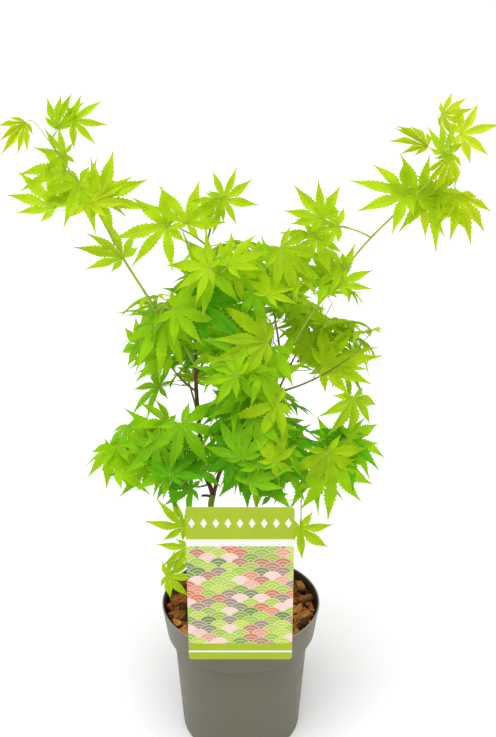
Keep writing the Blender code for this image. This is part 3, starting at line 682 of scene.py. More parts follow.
def make_mulch(rng):
    """Bark chips thrown on the compost, highest against the back wall, and crumbs between."""
    shapes = chip_shapes()
    heaps = {name: Heap() for name in CHIP_COLOURS}
    kinds = [(CHIP_LENGTHS, CHIP_LEVELS, CHIP_CLEAR)] * CHIP_COUNT
    kinds += [(CRUMB_LENGTHS, CRUMB_LEVELS, CRUMB_CLEAR)] * CRUMB_COUNT
    for number, (lengths, levels, clear) in enumerate(kinds):
        length = rng.uniform(*lengths)
        size = [length, length * rng.uniform(*CHIP_WIDTHS), length * rng.uniform(*CHIP_DEPTHS)]
        corners, faces = shapes[number % len(shapes)]
        chip = corners * np.array(Vector(size))
        lying = None
        while lying is None:
            lying = thrown(chip, length, levels, clear, rng)
        shift = rng.uniform(0, 1)
        places = [(chip[corner][0] + shift, chip[corner][1] + chip[corner][2] + shift)
                  for face in faces for corner in face]
        rng.choice(list(heaps.values())).add(lying, faces, places)
    for name, heap in heaps.items():
        piece = heap.piece(name)
        smoothed(piece, 25)
        placed(piece, "compost", bark_chip(name, CHIP_COLOURS[name]))


def scallop(x, z, rows_down):
    """(distance from its middle, a number of its own) of the scallop so many rows down."""
    width = CARD_WIDTH / SCALLOPS_ACROSS
    rise = width / 4
    row = (z / rise).whole() - rows_down
    shift = (row * 0.5).part() * width
    column = ((x + shift) / width).whole()
    aside = x + shift - (column + 0.5) * width
    above = z - row * rise
    return (aside * aside + above * above).root(), column * 7.31 + row * 3.17


def card_print():
    """Scallops in garden colours between two green bands, and a white back."""

    def paint(place, _):
        x, y, z = place.parts()
        up = (z - CARD_LOW) / (CARD_HIGH - CARD_LOW)
        radius = CARD_WIDTH / SCALLOPS_ACROSS / 2

        own_distance, own_number = scallop(x, z, 0)
        lower_distance, lower_number = scallop(x, z, 1)
        nearer = lower_distance < radius
        distance = own_distance + nearer * (lower_distance - own_distance)
        number = own_number + nearer * (lower_number - own_number)
        chance = number.node("TexWhiteNoise", {"noise_dimensions": "1D"}, {"W": number})
        colour = chance.node("ValToRGB", {"stops": SCALLOP_COLOURS}, {0: chance})
        rings = ((distance / radius * RINGS_EACH).part() > RING_EDGE) * RING_PALENESS
        picture = rings.blend(colour, CARD_WHITE)

        faded = place.noise(18, 2).between(0.3, 0.7)
        green = faded.blend(BAND_GREEN, shaded(BAND_GREEN, 1.10))
        colour = (up > BAND_FOOT).blend(picture, green)
        colour = (up < FOOTER_TOP).blend(colour, green)
        strip = abs(up - (BAND_FOOT - STRIP_WIDTH / 2)) < STRIP_WIDTH / 2
        footer_line = abs(up - FOOTER_TOP / 2) < FOOTER_LINE
        colour = strip.most(footer_line).blend(colour, CARD_WHITE)

        spacing = CARD_WIDTH / DIAMONDS_ACROSS
        aside = abs((x / spacing + 0.5).part() - 0.5) * spacing
        above = abs(up - (BAND_FOOT + 1) / 2) * (CARD_HIGH - CARD_LOW)
        diamond = (aside + above * DIAMOND_TALLNESS) < spacing * DIAMOND_SIZE
        colour = diamond.blend(colour, CARD_WHITE)

        front = y < CARD_BACK - CARD_THICKNESS * 0.6
        colour = front.blend(CARD_BACK_COLOUR, colour)
        return colour, 0.42 + faded * 0.06, place.noise(300, 2), 0.00004

    return finish("card_print", paint, specular=0.2)


def box(low, high):
    """A block between two corners."""
    everything_deselected()
    middle = [(a + b) / 2 for a, b in zip(low, high)]
    sizes = [b - a for a, b in zip(low, high)]
    bpy.ops.mesh.primitive_cube_add(size=1, location=middle, scale=sizes)
    bpy.ops.object.transform_apply()
    return bpy.context.object


def make_card():
    """The plate with rounded corners, joined to a tongue that hooks over the lip."""
    half, side = CARD_WIDTH / 2, TONGUE_WIDTH / 2
    front = CARD_BACK - CARD_THICKNESS
    plate = box((-half, front, CARD_LOW), (half, CARD_BACK, CARD_HIGH))
    plate.name = "picture_card"
    bpy.ops.object.mode_set(mode="EDIT")
    bpy.ops.mesh.select_all(action="DESELECT")
    shape = bmesh.from_edit_mesh(plate.data)
    for edge in shape.edges:
        first, second = (vertex.co for vertex in edge.verts)
        edge.select = abs(first.x - second.x) + abs(first.z - second.z) < TINY
    bmesh.update_edit_mesh(plate.data)
    bpy.ops.mesh.bevel(offset=CARD_CORNER, segments=CORNER_SEGMENTS)
    bpy.ops.object.mode_set(mode="OBJECT")
    low = RIM_TOP + RIM_GAP
    bridge = box((-side, front / 2 + CARD_BACK / 2, low), (side, -TONGUE_INSIDE, low + CARD_THICKNESS))
    leg = box((-side, -TONGUE_INSIDE - CARD_THICKNESS, TONGUE_LOW),
              (side, -TONGUE_INSIDE, low + CARD_THICKNESS / 2))
    cut_or_joined(plate, bridge, "UNION")
    cut_or_joined(plate, leg, "UNION")
    rounding = plate.modifiers.new("rounding", "BEVEL")
    rounding.width = CARD_EDGE
    rounding.segments = 1
    apply_modifiers(plate)
    smoothed(plate)
    return placed(plate, "card", card_print(), "card")


# Wood


def bark(name, colour, pale, higher=None):
    """Bark with fine lines along the limb and darker blotches, greener high up where it is young."""

    def paint(place, along):
        lines = along.noise(700, 4, stretch=(1, 0.10, 1))
        blotches = place.noise(70, 4)
        shade = (lines * 0.55 + blotches * 0.45).between(0.34, 0.66)
        colours = shade.blend(shaded(colour, 0.55), colour)
        if higher:
            young = place.parts()[2].between(*GREENING)
            colours = young.blend(colours, shade.blend(shaded(higher, 0.6), higher))
        specks = place.cells(420) < 0.16
        return (specks * 0.6).blend(colours, pale), 0.55 + shade * 0.2, lines, 0.0006

    return finish(name, paint, specular=0.4)


def smooth_route(route, step):
    """Points about a step apart on a Catmull-Rom curve through the route's points."""
    points = [Vector(point) for point in route]
    ends = [2 * points[0] - points[1]] + points + [2 * points[-1] - points[-2]]
    smooth = [points[0]]
    for before, start, end, after in zip(ends, ends[1:], ends[2:], ends[3:]):
        count = max(1, round((end - start).length / step))
        for number in range(1, count + 1):
            t = number / count
            smooth.append(0.5 * (
                2 * start + (end - before) * t
                + (2 * before - 5 * start + 4 * end - after) * t ** 2
                + (3 * start - before - 3 * end + after) * t ** 3))
    return smooth


def point_at_height(points, height):
    for low, high in zip(points, points[1:]):
        if min(low.z, high.z) <= height <= max(low.z, high.z):
            return low.lerp(high, (height - low.z) / (high.z - low.z))
    raise ValueError(f"no point at height {height}")


def bowed_line(start, end, pull, step):
    """Points about a step apart from start to end, pulled aside most in the middle."""
    count = max(3, round((end - start).length / step))
    line = []
    for number in range(count + 1):
        t = number / count
        line.append(start.lerp(end, t) + Vector(pull) * 4 * t * (1 - t))
    return line


def tube(heap, line, radii, sides, relief=None):
    """Adds a closed tube round a line. relief(angle, distance) swells it here and there."""
    tangent = (line[1] - line[0]).normalized()
    side = tangent.orthogonal().normalized()
    corners, distance = [], 0.0
    travelled = []
    for number, (point, radius) in enumerate(zip(line, radii)):
        before, after = line[max(0, number - 1)], line[min(len(line) - 1, number + 1)]
        new_tangent = (after - before).normalized()
        side = tangent.rotation_difference(new_tangent) @ side
        tangent = new_tangent
        other = tangent.cross(side).normalized()
        if number:
            distance += (point - line[number - 1]).length
        travelled.append(distance)
        for step in range(sides):
            angle = math.tau * step / sides
            swell = relief(angle, distance) if relief else 1.0
            corners.append(point + (side * math.cos(angle) + other * math.sin(angle)) * radius * swell)
    width = math.tau * max(radii) / sides
    faces, places = [], []
    for ring in range(len(line) - 1):
        low, high = travelled[ring], travelled[ring + 1]
        for step in range(sides):
            following = (step + 1) % sides
            faces.append((ring * sides + step, ring * sides + following,
                          (ring + 1) * sides + following, (ring + 1) * sides + step))
            places += [(step * width, low), ((step + 1) * width, low),
                       ((step + 1) * width, high), (step * width, high)]
    for ring, point in ((0, line[0]), (len(line) - 1, line[-1])):
        corners.append(point)
        pole = len(corners) - 1
        for step in range(sides):
            pair = (ring * sides + (step + 1) % sides, ring * sides + step)
            faces.append((pole, *(pair if ring == 0 else pair[::-1])))
            places += [(0.0, travelled[ring])] * 3
    heap.add(corners, faces, places)


def tapered(line, foot, tip):
    """A radius for each point of a line, from the foot's to the tip's."""
    last = len(line) - 1
    return [foot + (tip - foot) * number / last for number in range(last + 1)]


def knotty(seed, spacing, depth):
    """A relief for bark: shallow furrows that run up the limb and a ring at every node."""

    def relief(angle, distance):
        place = Vector((math.cos(angle) * 1.6, math.sin(angle) * 1.6, distance * 60 + seed * 7.3))
        furrow = noise.noise(place) + 0.5 * noise.noise(place * 2.7)
        from_node = (distance / spacing + 0.37 * seed) % 1.0
        from_node = min(from_node, 1 - from_node) * spacing
        return 1 + depth * furrow + NODE_HEIGHT * math.exp(-(from_node / NODE_LENGTH) ** 2)

    return relief


class Wood:
    """Every point of wood that a twig or a stalk may grow from, with its radius there."""

    def __init__(self):
        self.points = np.zeros((0, 3))
        self.ways = np.zeros((0, 3))
        self.radii = np.zeros(0)

    def add(self, line, radii):
        points = np.array([tuple(point) for point in line])
        self.points = np.vstack([self.points, points])
        self.ways = np.vstack([self.ways, np.gradient(points, axis=0)])
        self.radii = np.append(self.radii, radii)

    def closest(self, place):
        """(number, distance) of the point nearest to a place."""
        gaps = np.linalg.norm(self.points - np.array(place), axis=1)
        best = int(gaps.argmin())
        return best, float(gaps[best])

    def nearest(self, place):
        """(point, radius, distance) of the wood nearest to a place."""
        best, distance = self.closest(place)
        return Vector(self.points[best]), float(self.radii[best]), distance

    def way_at(self, place):
        """The way the wood nearest to a place runs, towards its tip."""
        return Vector(self.ways[self.closest(place)[0]]).normalized()


def make_trunk():
    """The trunk, with ridges that flare out at its foot. Returns its centre line."""
    line = smooth_route(TRUNK_ROUTE, TRUNK_STEP)
    rough = knotty(1, *TRUNK_RELIEF)

    def near_ground(rise):
        return max(0.0, 1 - rise / FLARE_HEIGHT)

    def buttressed(angle, distance):
        rise = max(0.0, distance + line[0].z - GROUND)
        ridge = RIDGE_SPREAD * (0.5 + 0.5 * math.cos(RIDGE_COUNT * angle))
        return rough(angle, distance) + ridge * near_ground(rise)

    radii = []
    for point in line:
        rise = max(0.0, point.z - GROUND)
        taper = (TRUNK_TOP_RADIUS - TRUNK_FOOT_RADIUS) * rise / (line[-1].z - GROUND)
        radii.append(TRUNK_FOOT_RADIUS + taper + FLARE_SPREAD * near_ground(rise) ** 2)
    heap = Heap()
    tube(heap, line, radii, TRUNK_SIDES, buttressed)
    trunk_bark = bark("trunk_bark", TRUNK_COLOUR, (0.33, 0.29, 0.14))
    placed(heap.piece("trunk_wood"), "bark", trunk_bark, "trunk")
    return line


def make_limbs(wood):
    """The trunk and its limbs, each a piece that replaces its node."""
    bough_bark = bark("bough_bark", BOUGH_COLOUR, (0.22, 0.13, 0.07), YOUNG_BOUGH_COLOUR)
    young_bark = bark("young_bark", SIDE_BOUGH_COLOUR, (0.30, 0.26, 0.10))
    rind = bark("shoot_rind", SHOOT_COLOUR, (0.50, 0.50, 0.14))
    lines = {"trunk": make_trunk()}

    def limb(name, line, foot, tip, sides, relief, green, brown):
        heap, radii = Heap(), tapered(line, foot, tip)
        tube(heap, line, radii, sides, relief)
        wood.add(line[2:], radii[2:])
        lines[name] = line
        slot, material = ("shoot", rind) if green else ("bark", brown)
        placed(heap.piece(name + "_wood"), slot, material, name)

    for number, (name, (foot, tip, route)) in enumerate(MAIN_LIMBS.items(), FIRST_MAIN_RELIEF):
        limb(name, smooth_route(route, MAIN_STEP), foot, tip, MAIN_SIDES,
             knotty(number, *MAIN_RELIEF), "shoot" in name, bough_bark)
    for number, (name, shape) in enumerate(SIDE_LIMBS.items(), FIRST_SIDE_RELIEF):
        grows_from, height, end, foot, pull = shape
        start = point_at_height(lines[grows_from], height)
        limb(name, bowed_line(start, Vector(end), pull, SIDE_STEP), foot, SIDE_TIP_RADIUS,
             SIDE_SIDES, knotty(number, *SIDE_RELIEF), foot < GREEN_BELOW, young_bark)

    heap = Heap()
    for start, end, foot, tip in SNAGS:
        line = bowed_line(Vector(start), Vector(end), SNAG_BOW, SNAG_STEP)
        tube(heap, line, tapered(line, foot, tip), SNAG_SIDES, knotty(foot * 1e4, *SNAG_RELIEF))
    placed(heap.piece("snags"), "bark", bough_bark)


# Leaves and the twigs that carry them


class Masses:
    """The model's masses of foliage, to ask what lies in them."""

    def __init__(self, names):
        self.trees, self.faces, self.boxes = {}, {}, {}
        corners, faces = [], []
        for name in names:
            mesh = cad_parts[name].data
            points = [vertex.co.copy() for vertex in mesh.vertices]
            triangles = [tuple(face.vertices) for face in mesh.polygons]
            self.trees[name] = BVHTree.FromPolygons(points, triangles)
            self.faces[name] = facing_of(points)
            self.boxes[name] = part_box(name)
            faces += [tuple(len(corners) + corner for corner in face) for face in triangles]
            corners += points
        self.all = BVHTree.FromPolygons(corners, faces)

    def holds(self, name, place):
        """A place in a closed shape sees an odd number of its faces above it."""
        crossings, start = 0, place.copy()
        while True:
            hit = self.trees[name].ray_cast(start, Vector((0, 0, 1)))[0]
            if hit is None:
                return crossings % 2 == 1
            crossings += 1
            start = hit + Vector((0, 0, TINY))

    def reached(self, place, slack):
        """Whether a place lies in any mass or within the slack of one, and in the crown's box."""
        for low, high, slack_there, value in zip(*cad_box, CROWN_SLACK, place):
            if not low - slack_there < value < high + slack_there:
                return False
        near = self.all.find_nearest(place)[3]
        return near < slack or any(self.holds(name, place) for name in self.trees)

    def edge(self, name, place):
        return self.trees[name].find_nearest(place)[3]


def facing_of(points):
    """The way a flat mass faces, turned to the front, or None for a rounded one."""
    spread, axes = np.linalg.eigh(np.cov(np.array(points).T))
    if spread[0] > FLAT_MASS ** 2 * spread[2]:
        return None
    face = Vector(axes[:, 0])
    return face if face.y < 0 else -face


def farness(place):
    """0 in the middle of the crown, and more higher up and further out."""
    outwards = math.hypot(place.x, place.y) / CROWN_SPREAD
    return outwards + (place.z - CROWN_MIDDLE) / CROWN_RISE * RISE_SHARE


class Leaf:
    """A blade of seven lobes round the end of its stalk."""

    def __init__(self, place, ahead, upper, size, seed, flatness=1.0):
        self.place, self.ahead, self.upper, self.size = place, ahead, upper, size
        self.across = ahead.cross(upper)
        rng = random.Random(seed)
        self.droop = rng.uniform(*DROOP_RANGE) * flatness
        furled = farness(place) > YOUNG_FROM and rng.random() < YOUNG_SHARE
        opening = rng.uniform(*OPENING_RANGE) * (FURLED_OPENING if furled else 1.0)
        self.lobes = [
            (math.radians(angle * opening + rng.gauss(0, LOBE_SWAY)),
             part * size * rng.uniform(*LOBE_STRETCH))
            for angle, part in zip(LOBE_ANGLES, LOBE_LENGTHS)]
        self.widths = [rng.uniform(*LOBE_WIDTHS) for _ in self.lobes]
        self.fold = math.tan(math.radians(rng.uniform(*FOLDS) + FURLED_FOLD * furled))
        self.bows = [rng.gauss(0, LOBE_BOW) for _ in self.lobes]
        self.curls = [rng.uniform(*LOBE_CURLS) for _ in self.lobes]

    def along_lobe(self, number, distance):
        """A point on a lobe's straight line in the leaf's own axes, drooping further out."""
        angle = self.lobes[number][0]
        return Vector((math.sin(angle) * distance, math.cos(angle) * distance,
                       -self.droop * distance ** 2 / self.size))

    def out(self, local):
        """Where a point in the leaf's own axes lies."""
        return self.place + self.across * local.x + self.ahead * local.y + self.upper * local.z

    def middle(self):
        """The middle of the blade, a little way out along the middle lobe."""
        return self.place + self.ahead * self.size * BLADE_MIDDLE

    def spots(self, part):
        """The same part of the way out along each of the five larger lobes."""
        return [self.out(self.along_lobe(number, self.lobes[number][1] * part))
                for number in range(1, len(self.lobes) - 1)]


def lobe_line(leaf, number, along):
    """A point of a lobe's midrib in the leaf's own axes, and the lobe's sideways direction."""
    angle, length = leaf.lobes[number]
    sideways = Vector((math.cos(angle), -math.sin(angle), 0))
    point = leaf.along_lobe(number, along * length)
    point += sideways * leaf.bows[number] * length * along ** 2
    point.z -= leaf.curls[number] * length * along ** 3
    return point, sideways


def outline_stations(teeth):
    """(part of the lobe's length, factor on its width) of each corner of its outline."""
    stations = [(along, 1.0) for along in SMOOTH_STATIONS]
    step = (TEETH_TO - TEETH_FROM) / teeth
    for number in range(teeth):
        foot = TEETH_FROM + number * step
        stations += [(foot, TOOTH_IN), (foot + TOOTH_LEAN * step, TOOTH_OUT)]
    return stations


def lobe_width(leaf, number, along, side):
    """A lobe's width on one side, kept narrow enough low down to meet its neighbour's edge."""
    angle, length = leaf.lobes[number]
    neighbour = number + side
    inside = 0 <= neighbour < len(leaf.lobes)
    gap = abs(leaf.lobes[neighbour][0] - angle) if inside else WIDEST_GAP
    width = LOBE_WIDTH * leaf.widths[number] * math.sqrt(length * leaf.size)
    width *= float(np.interp(along, *LOBE_PROFILE))
    return min(width, math.tan(gap / 2) * along * length)


def add_blade(heap, leaf):
    """Each lobe is folded along its midrib, in broad faces with teeth in their outline."""
    corners, spots, faces, places = [leaf.place], [(0.0, 0.5)], [], []

    def corner(number, along, side, reach):
        point, sideways = lobe_line(leaf, number, along)
        point += sideways * side * reach
        point.z += abs(side) * reach * leaf.fold
        corners.append(leaf.out(point))
        spots.append((along, 0.5 + 0.5 * side))
        return len(corners) - 1

    for number in range(len(leaf.lobes)):
        basal = number in (0, len(leaf.lobes) - 1)
        teeth, bends = (BASAL_TEETH, BASAL_BENDS) if basal else (LOBE_TEETH, LOBE_BENDS)
        stations = outline_stations(teeth)
        bands = [len(SMOOTH_STATIONS) + 2 * bend for bend in bends]
        middles = [0] + [corner(number, stations[band][0], 0, 0.0) for band in bands]
        middles.append(corner(number, 1.0, 0, 0.0))
        for side in (-1, 1):
            edge = [corner(number, along, side, lobe_width(leaf, number, along, side) * factor)
                    for along, factor in stations]
            starts, ends = (0, *bands), (*bands, len(stations) - 1)
            for first, last, low, high in zip(starts, ends, middles, middles[1:]):
                face = [low, high] + edge[first:last + 1][::-1]
                faces.append(face if side < 0 else face[::-1])
    for face in faces:
        places += [spots[index] for index in face]
    heap.add(corners, faces, places)


def add_ribs(heap, leaf):
    """A fine rib down each of the larger lobes, proud of the blade on both sides."""
    for number in range(1, len(leaf.lobes) - 1):
        line, radii = [], []
        for along, radius in RIB_STEPS:
            point, _ = lobe_line(leaf, number, along)
            line.append(leaf.out(point))
            radii.append(radius * leaf.size / RIB_SIZE)
        tube(heap, line, radii, RIB_SIDES)


def stalk_line(start, leaf):
    """A stalk leaves the wood, rises a little, and comes to the leaf from behind it."""
    span = leaf.place - start
    reach = span.length
    leave = start + (span.normalized() + Vector((0, 0, STALK_LIFT))) * reach * STALK_LEAVE
    arrive = leaf.place - (leaf.ahead + leaf.upper * STALK_BEHIND) * reach * STALK_ARRIVE
    line = []
    for number in range(STALK_STEPS + 1):
        t = number / STALK_STEPS
        line.append(start * (1 - t) ** 3 + leave * 3 * t * (1 - t) ** 2
                    + arrive * 3 * t * t * (1 - t) + leaf.place * t ** 3)
    return line


def tint_at(place, rng):
    """Young leaves high up, far out and on the low sprigs are yellower than those inside, and the darker
    greens further in and lower down are partly painted shade.
    """
    out, chance = farness(place), rng.gauss(0, TINT_CHANCE)
    if place.z < SPRIG_TOP:
        return "lime"
    if place.z > GOLD_FROM and out + chance > GOLD_LEVEL:
        return "gold"
    # Further in and lower down the greens darken, partly as painted shade; towards the right they
    # lighten as painted sunlight.
    level = out + max(0.0, place.x) / SUNNY_SIDE + chance
    for limit, tint in TINT_LEVELS:
        if level > limit:
            return tint
    return "deep_and_shaded"


class Need:
    """Places spread through the masses, and how much each of them still needs a leaf."""

    def __init__(self, masses, rng):
        places, amounts = [], []
        for name in CROWN:
            low, high = masses.boxes[name]
            spare = spare_of(name, masses)
            wanted = len(places) + NEED_PLACES
            while len(places) < wanted:
                shares = [rng.uniform(-1, 1) for _ in range(3)]
                place = Vector([(a + b) / 2 + share * ((b - a) / 2 + more)
                                for a, b, more, share in zip(low, high, spare, shares)])
                if may_grow(name, masses, place):
                    places.append(place)
                    amounts.append(1 + OUTER_NEED * sum(share ** 2 for share in shares))
        self.places = np.array([tuple(place) for place in places])
        self.left = np.array(amounts)
        self.blades = []
        self.near = {}
        for name in CROWN:
            low, high = (np.array(corner) for corner in masses.boxes[name])
            above, below = self.places > low - NEED_MARGIN, self.places < high + NEED_MARGIN
            self.near[name] = np.flatnonzero((above & below).all(axis=1))

    def room(self, leaf):
        """From 0 to 1, how clear the middle of a leaf's blade is of the leaves already there."""
        if not self.blades:
            return 1.0
        gap = min((blade - leaf.middle()).length for blade in self.blades)
        return 1 - CROWDING * math.exp(-(gap / (LEAF_SPACING * leaf.size)) ** 2)

    def meets(self, mass, leaf):
        """How near, from 0 to 1, the leaf's lobes come to each place near the mass."""
        spots = [leaf.place] + [spot for part in LOBE_SPOTS for spot in leaf.spots(part)]
        points = np.array([tuple(spot) for spot in spots])
        gaps = np.linalg.norm(self.places[self.near[mass]][:, None] - points[None], axis=2)
        return np.exp(-(gaps.min(axis=1) / NEED_REACH) ** 2)

    def worth(self, mass, leaf):
        """How much of what is still needed near the mass the leaf would meet."""
        met = self.meets(mass, leaf) * self.left[self.near[mass]]
        return float(met.sum()) * self.room(leaf)

    def settle(self, mass, leaf):
        """Takes the leaf, and what it meets is needed no more."""
        self.left[self.near[mass]] *= 1 - NEED_MET * self.meets(mass, leaf)
        self.blades.append(leaf.middle())


def spare_of(mass, masses):
    """How far past its box a rounded mass is filled, to close the crown's middle."""
    if masses.faces[mass]:
        return Vector((0, 0, 0))
    return Vector((BACK_SPARE if mass.startswith("back") else 0, BACK_SPARE, 0))


def may_grow(mass, masses, place):
    """In the mass itself, or near it and behind the trunk."""
    if masses.holds(mass, place):
        return True
    return not masses.faces[mass] and place.y > BEHIND and masses.edge(mass, place) < BACK_SPARE


def slack_of(mass, masses):
    if masses.faces[mass]:
        return FLAT_SLACK
    return BACK_SLACK if mass.startswith("back") else LEAF_SLACK


def one_way_to_grow(mass, masses, wood, size, terminal, habit, rng):
    """A leaf at a chance place in a mass, pointing away from the wood, or None."""
    shape_seed, turn = habit
    low, high = masses.boxes[mass]
    spare = spare_of(mass, masses)
    place = Vector([rng.uniform(a - more, b + more) for a, b, more in zip(low, high, spare)])
    if terminal:
        limb_end, _, _ = wood.nearest((low + high) / 2)
        place = limb_end + Vector([rng.gauss(0, TERMINAL_SPREAD) for _ in range(3)])
        way = wood.way_at(limb_end)
        place -= way * size * rng.uniform(0, TERMINAL_BACK)
    elif not may_grow(mass, masses, place):
        return None
    start, _, _ = wood.nearest(place)
    away = (place - start).normalized()
    face = masses.faces[mass]
    wander = Vector([rng.gauss(0, WANDER) for _ in range(3)])
    if terminal:
        away = way
        wander *= TERMINAL_WANDER
    if face:
        ahead = away + wander
        ahead -= face * ahead.dot(face) * FLAT_LEVEL
        facing = face + turn * FLAT_TURN
    else:
        level = Vector((away.x + place.x * ROUND_OUT, away.y + place.y * ROUND_OUT, 0)).normalized()
        ahead = Vector((level.x, 0.0, away.z * ROUND_RISE)) + wander
        light = FRONT_LIGHT * (place.y < LIT_BEFORE)
        facing = Vector((0, 0, 1)) + level * ROUND_LEAN + light + turn * ROUND_TURN
        facing.normalize()
        ahead -= facing * ahead.dot(facing) * ROUND_LEVEL
    ahead.normalize()
    upper = (facing - ahead * facing.dot(ahead)).normalized()
    return Leaf(place, ahead, upper, size, shape_seed, FLAT_DROOP if face else 1.0), ahead.dot(away)


def in_an_opening(place):
    """Whether a place would close one of the crown's openings."""
    height = place.z + place.y * SIGHT_SLOPE
    return any(math.hypot((place.x - x) / half_width, (height - z) / half_height) < 1
               for (x, z), (half_width, half_height) in OPENINGS.values())


def best_way_to_grow(mass, masses, wood, size, need, terminal, rng):
    """Of many chance leaves whose lobes stay by the mass, the one that meets the most need."""
    slack = slack_of(mass, masses)
    size *= rng.uniform(*LEAF_SIZES)
    habit = rng.random(), Vector([rng.gauss(0, 1) for _ in range(3)])
    best, best_worth = None, 0.0
    for attempt in range(CANDIDATES):
        tried = size * (1 - SIZE_GIVEN_UP * attempt / CANDIDATES)
        grown = one_way_to_grow(mass, masses, wood, tried, terminal, habit, rng)
        if not grown:
            continue
        leaf, turned_away = grown
        if not all(masses.reached(spot, slack) for spot in [leaf.place] + leaf.spots(1.0)):
            continue
        if any(in_an_opening(spot) for part in LOBE_SPOTS for spot in leaf.spots(part)):
            continue
        worth = need.worth(mass, leaf) * (1 + AWAY_PULL * turned_away)
        if worth > best_worth:
            best, best_worth = leaf, worth
    return best


def grow_leaves(masses, wood):
    """Fills each mass by rule: every leaf goes where one is needed most."""
    leaves = []
    need = Need(masses, random.Random(NEED_SEED))
    for order, (mass, (count, size)) in enumerate(CROWN.items()):
        rng = random.Random(GROWTH_SEED + order)
        for number in range(count):
            leaf = best_way_to_grow(mass, masses, wood, size * MM, need, number == 0, rng)
            if not leaf:
                continue
            leaf.mass = mass
            leaf.tint = tint_at(leaf.place, rng)
            leaves.append(leaf)
            need.settle(mass, leaf)
    return leaves


def grow_twigs(heap, leaves, wood):
    """Grows twigs, the furthest first, until every leaf is within a stalk's length of wood."""
    rng = random.Random(TWIG_SEED)
    for mass in CROWN:
        places = [leaf.place for leaf in leaves if leaf.mass == mass]
        while places:
            found = [(wood.nearest(place), place) for place in places]
            (start, radius, distance), place = max(found, key=lambda pair: pair[0][2])
            if distance < LONGEST_STALK:
                break
            end = place.lerp(start, TWIG_STANDOFF / distance)
            sag = Vector([rng.gauss(0, TWIG_WAVER) for _ in range(3)]) - Vector((0, 0, TWIG_SAG))
            line = bowed_line(start, end, sag * distance, TWIG_STEP)
            radii = tapered(line, min(radius * TWIG_THINNING, TWIG_RADIUS), TWIG_TIP_RADIUS)
            tube(heap, line, radii, TWIG_SIDES, knotty(rng.random() * 9, *TWIG_RELIEF))
            wood.add(line[1:], radii[1:])


def leaf_green(name, colour, light):
    """Satin green that lets light through, with pale veins and tips tinged brown."""

    def paint(place, along):
        part, across, _ = along.parts()
        patches = place.noise(60, 3).between(0.3, 0.7)
        lit = patches.blend(shaded(colour, 0.86), shaded(colour, 1.12))
        tinged = (part.between(0.86, 1.0) * 0.65).blend(lit, TIP_COLOUR)
        slanted = part * 9.0 - abs(across - 0.5) * 3.5
        veins = (abs(slanted.part() - 0.5) > 0.44) * 0.22
        return veins.blend(tinged, shaded(colour, 1.35)), 0.42 + patches * 0.12, patches, 0.0003

    return finish(name, paint, thin=(LEAF_THINNESS, light), specular=0.08)


def rib_green():
    """The pale green of a leaf's ribs."""

    def paint(place, _):
        patches = place.noise(50, 2).between(0.3, 0.7)
        return patches.blend(*RIB_COLOURS), 0.5, patches, 0.0002

    return finish("rib_green", paint)


def stalk_green(name, colour, blush):
    """A thin green rind that blushes here and there."""

    def paint(place, _):
        patches = place.noise(35, 3).between(0.45, 0.75)
        fine = place.noise(600, 2)
        return (patches * 0.5).blend(colour, blush), 0.5, fine, 0.0002

    return finish(name, paint)


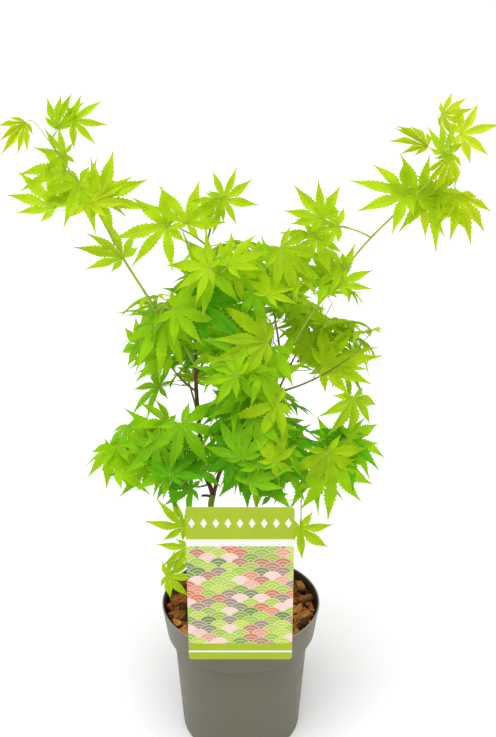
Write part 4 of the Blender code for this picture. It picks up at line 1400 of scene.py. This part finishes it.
def make_foliage(wood):
    """Grows the leaves, then the twigs and stalks that carry them, each kind joined."""
    masses = Masses(CROWN)
    leaves = grow_leaves(masses, wood)

    twigs, stalks, ribs = Heap(), Heap(), Heap()
    grow_twigs(twigs, leaves, wood)
    blades = {tint: Heap() for tint in TINTS}
    stood_for = {tint: [] for tint in TINTS}
    for leaf in leaves:
        start, _, _ = wood.nearest(leaf.place - leaf.ahead * TWIG_STANDOFF * STALK_BACK)
        line = stalk_line(start, leaf)
        tube(stalks, line, tapered(line, STALK_RADIUS, STALK_TIP_RADIUS), STALK_SIDES)
        add_blade(blades[leaf.tint], leaf)
        add_ribs(ribs, leaf)
    for mass in CROWN:
        tints = [leaf.tint for leaf in leaves if leaf.mass == mass]
        stood_for[max(TINTS, key=tints.count)].append(mass)

    placed(twigs.piece("twigs"), "shoot", stalk_green("twig_rind", *TWIG_COLOURS))
    placed(stalks.piece("leaf_stalks"), "shoot", stalk_green("stalk_rind", *STALK_COLOURS))
    placed(ribs.piece("leaf_ribs"), "leaf", rib_green())
    for tint, heap in blades.items():
        piece = heap.piece("leaves_" + tint)
        smoothed(piece, 28)
        colour, light = TINT_COLOURS[tint]
        placed(piece, "leaf", leaf_green("leaf_" + tint, colour, light), *stood_for[tint])


# Floor, light and camera


def pale_floor():
    def paint(place, _):
        soft = place.noise(3, 2).between(0.3, 0.7)
        return soft.blend((0.93, 0.93, 0.93), (0.95, 0.95, 0.95)), 0.9, soft, 0.0001

    return finish("pale_floor", paint, specular=0.0)


def make_floor():
    everything_deselected()
    bpy.ops.mesh.primitive_plane_add(size=FLOOR_SIZE, location=(0, 0, 0))
    floor = bpy.context.object
    floor.name = "floor"
    floor.data.materials.append(pale_floor())


def soft_sun():
    data = bpy.data.lights.new("sun", "SUN")
    data.energy = SUN_POWER
    data.angle = SUN_SOFTNESS
    light = bpy.data.objects.new("sun", data)
    light.rotation_euler = (math.pi / 2 - SUN_HEIGHT, 0, SUN_SIDE)
    bpy.context.scene.collection.objects.link(light)


def pale_world():
    """Near white by the horizon, so that the floor meets it unseen, and dimmer higher up."""
    world = bpy.data.worlds.new("studio")
    world.use_nodes = True
    tree = world.node_tree
    direction = Value(tree, tree.nodes.new("ShaderNodeTexCoord").outputs["Generated"])
    higher = direction.parts()[2].between(HORIZON_TOP, SKY_FOOT)
    shade = higher.blend([WORLD_LOW] * 3, [WORLD_HIGH] * 3)
    tree.links.new(shade.socket, tree.nodes["Background"].inputs["Color"])
    return world


def make_studio():
    scene = bpy.context.scene
    scene.view_settings.view_transform = "Standard"
    scene.world = pale_world()
    soft_sun()

    data = bpy.data.cameras.new("camera")
    data.sensor_width = CAMERA_LONG_SIDE
    data.lens = CAMERA_LENS
    data.clip_end = CAMERA_REACH
    camera = bpy.data.objects.new("camera", data)
    camera.location = CAMERA_PLACE
    camera.rotation_euler = (math.pi / 2 - CAMERA_DOWN, 0, 0)
    scene.collection.objects.link(camera)
    scene.camera = camera


make_studio()
make_floor()
make_pot()
make_compost()
make_mulch(random.Random(MULCH_SEED))
make_card()
limb_wood = Wood()
make_limbs(limb_wood)
make_foliage(limb_wood)

bpy.context.view_layer.update()
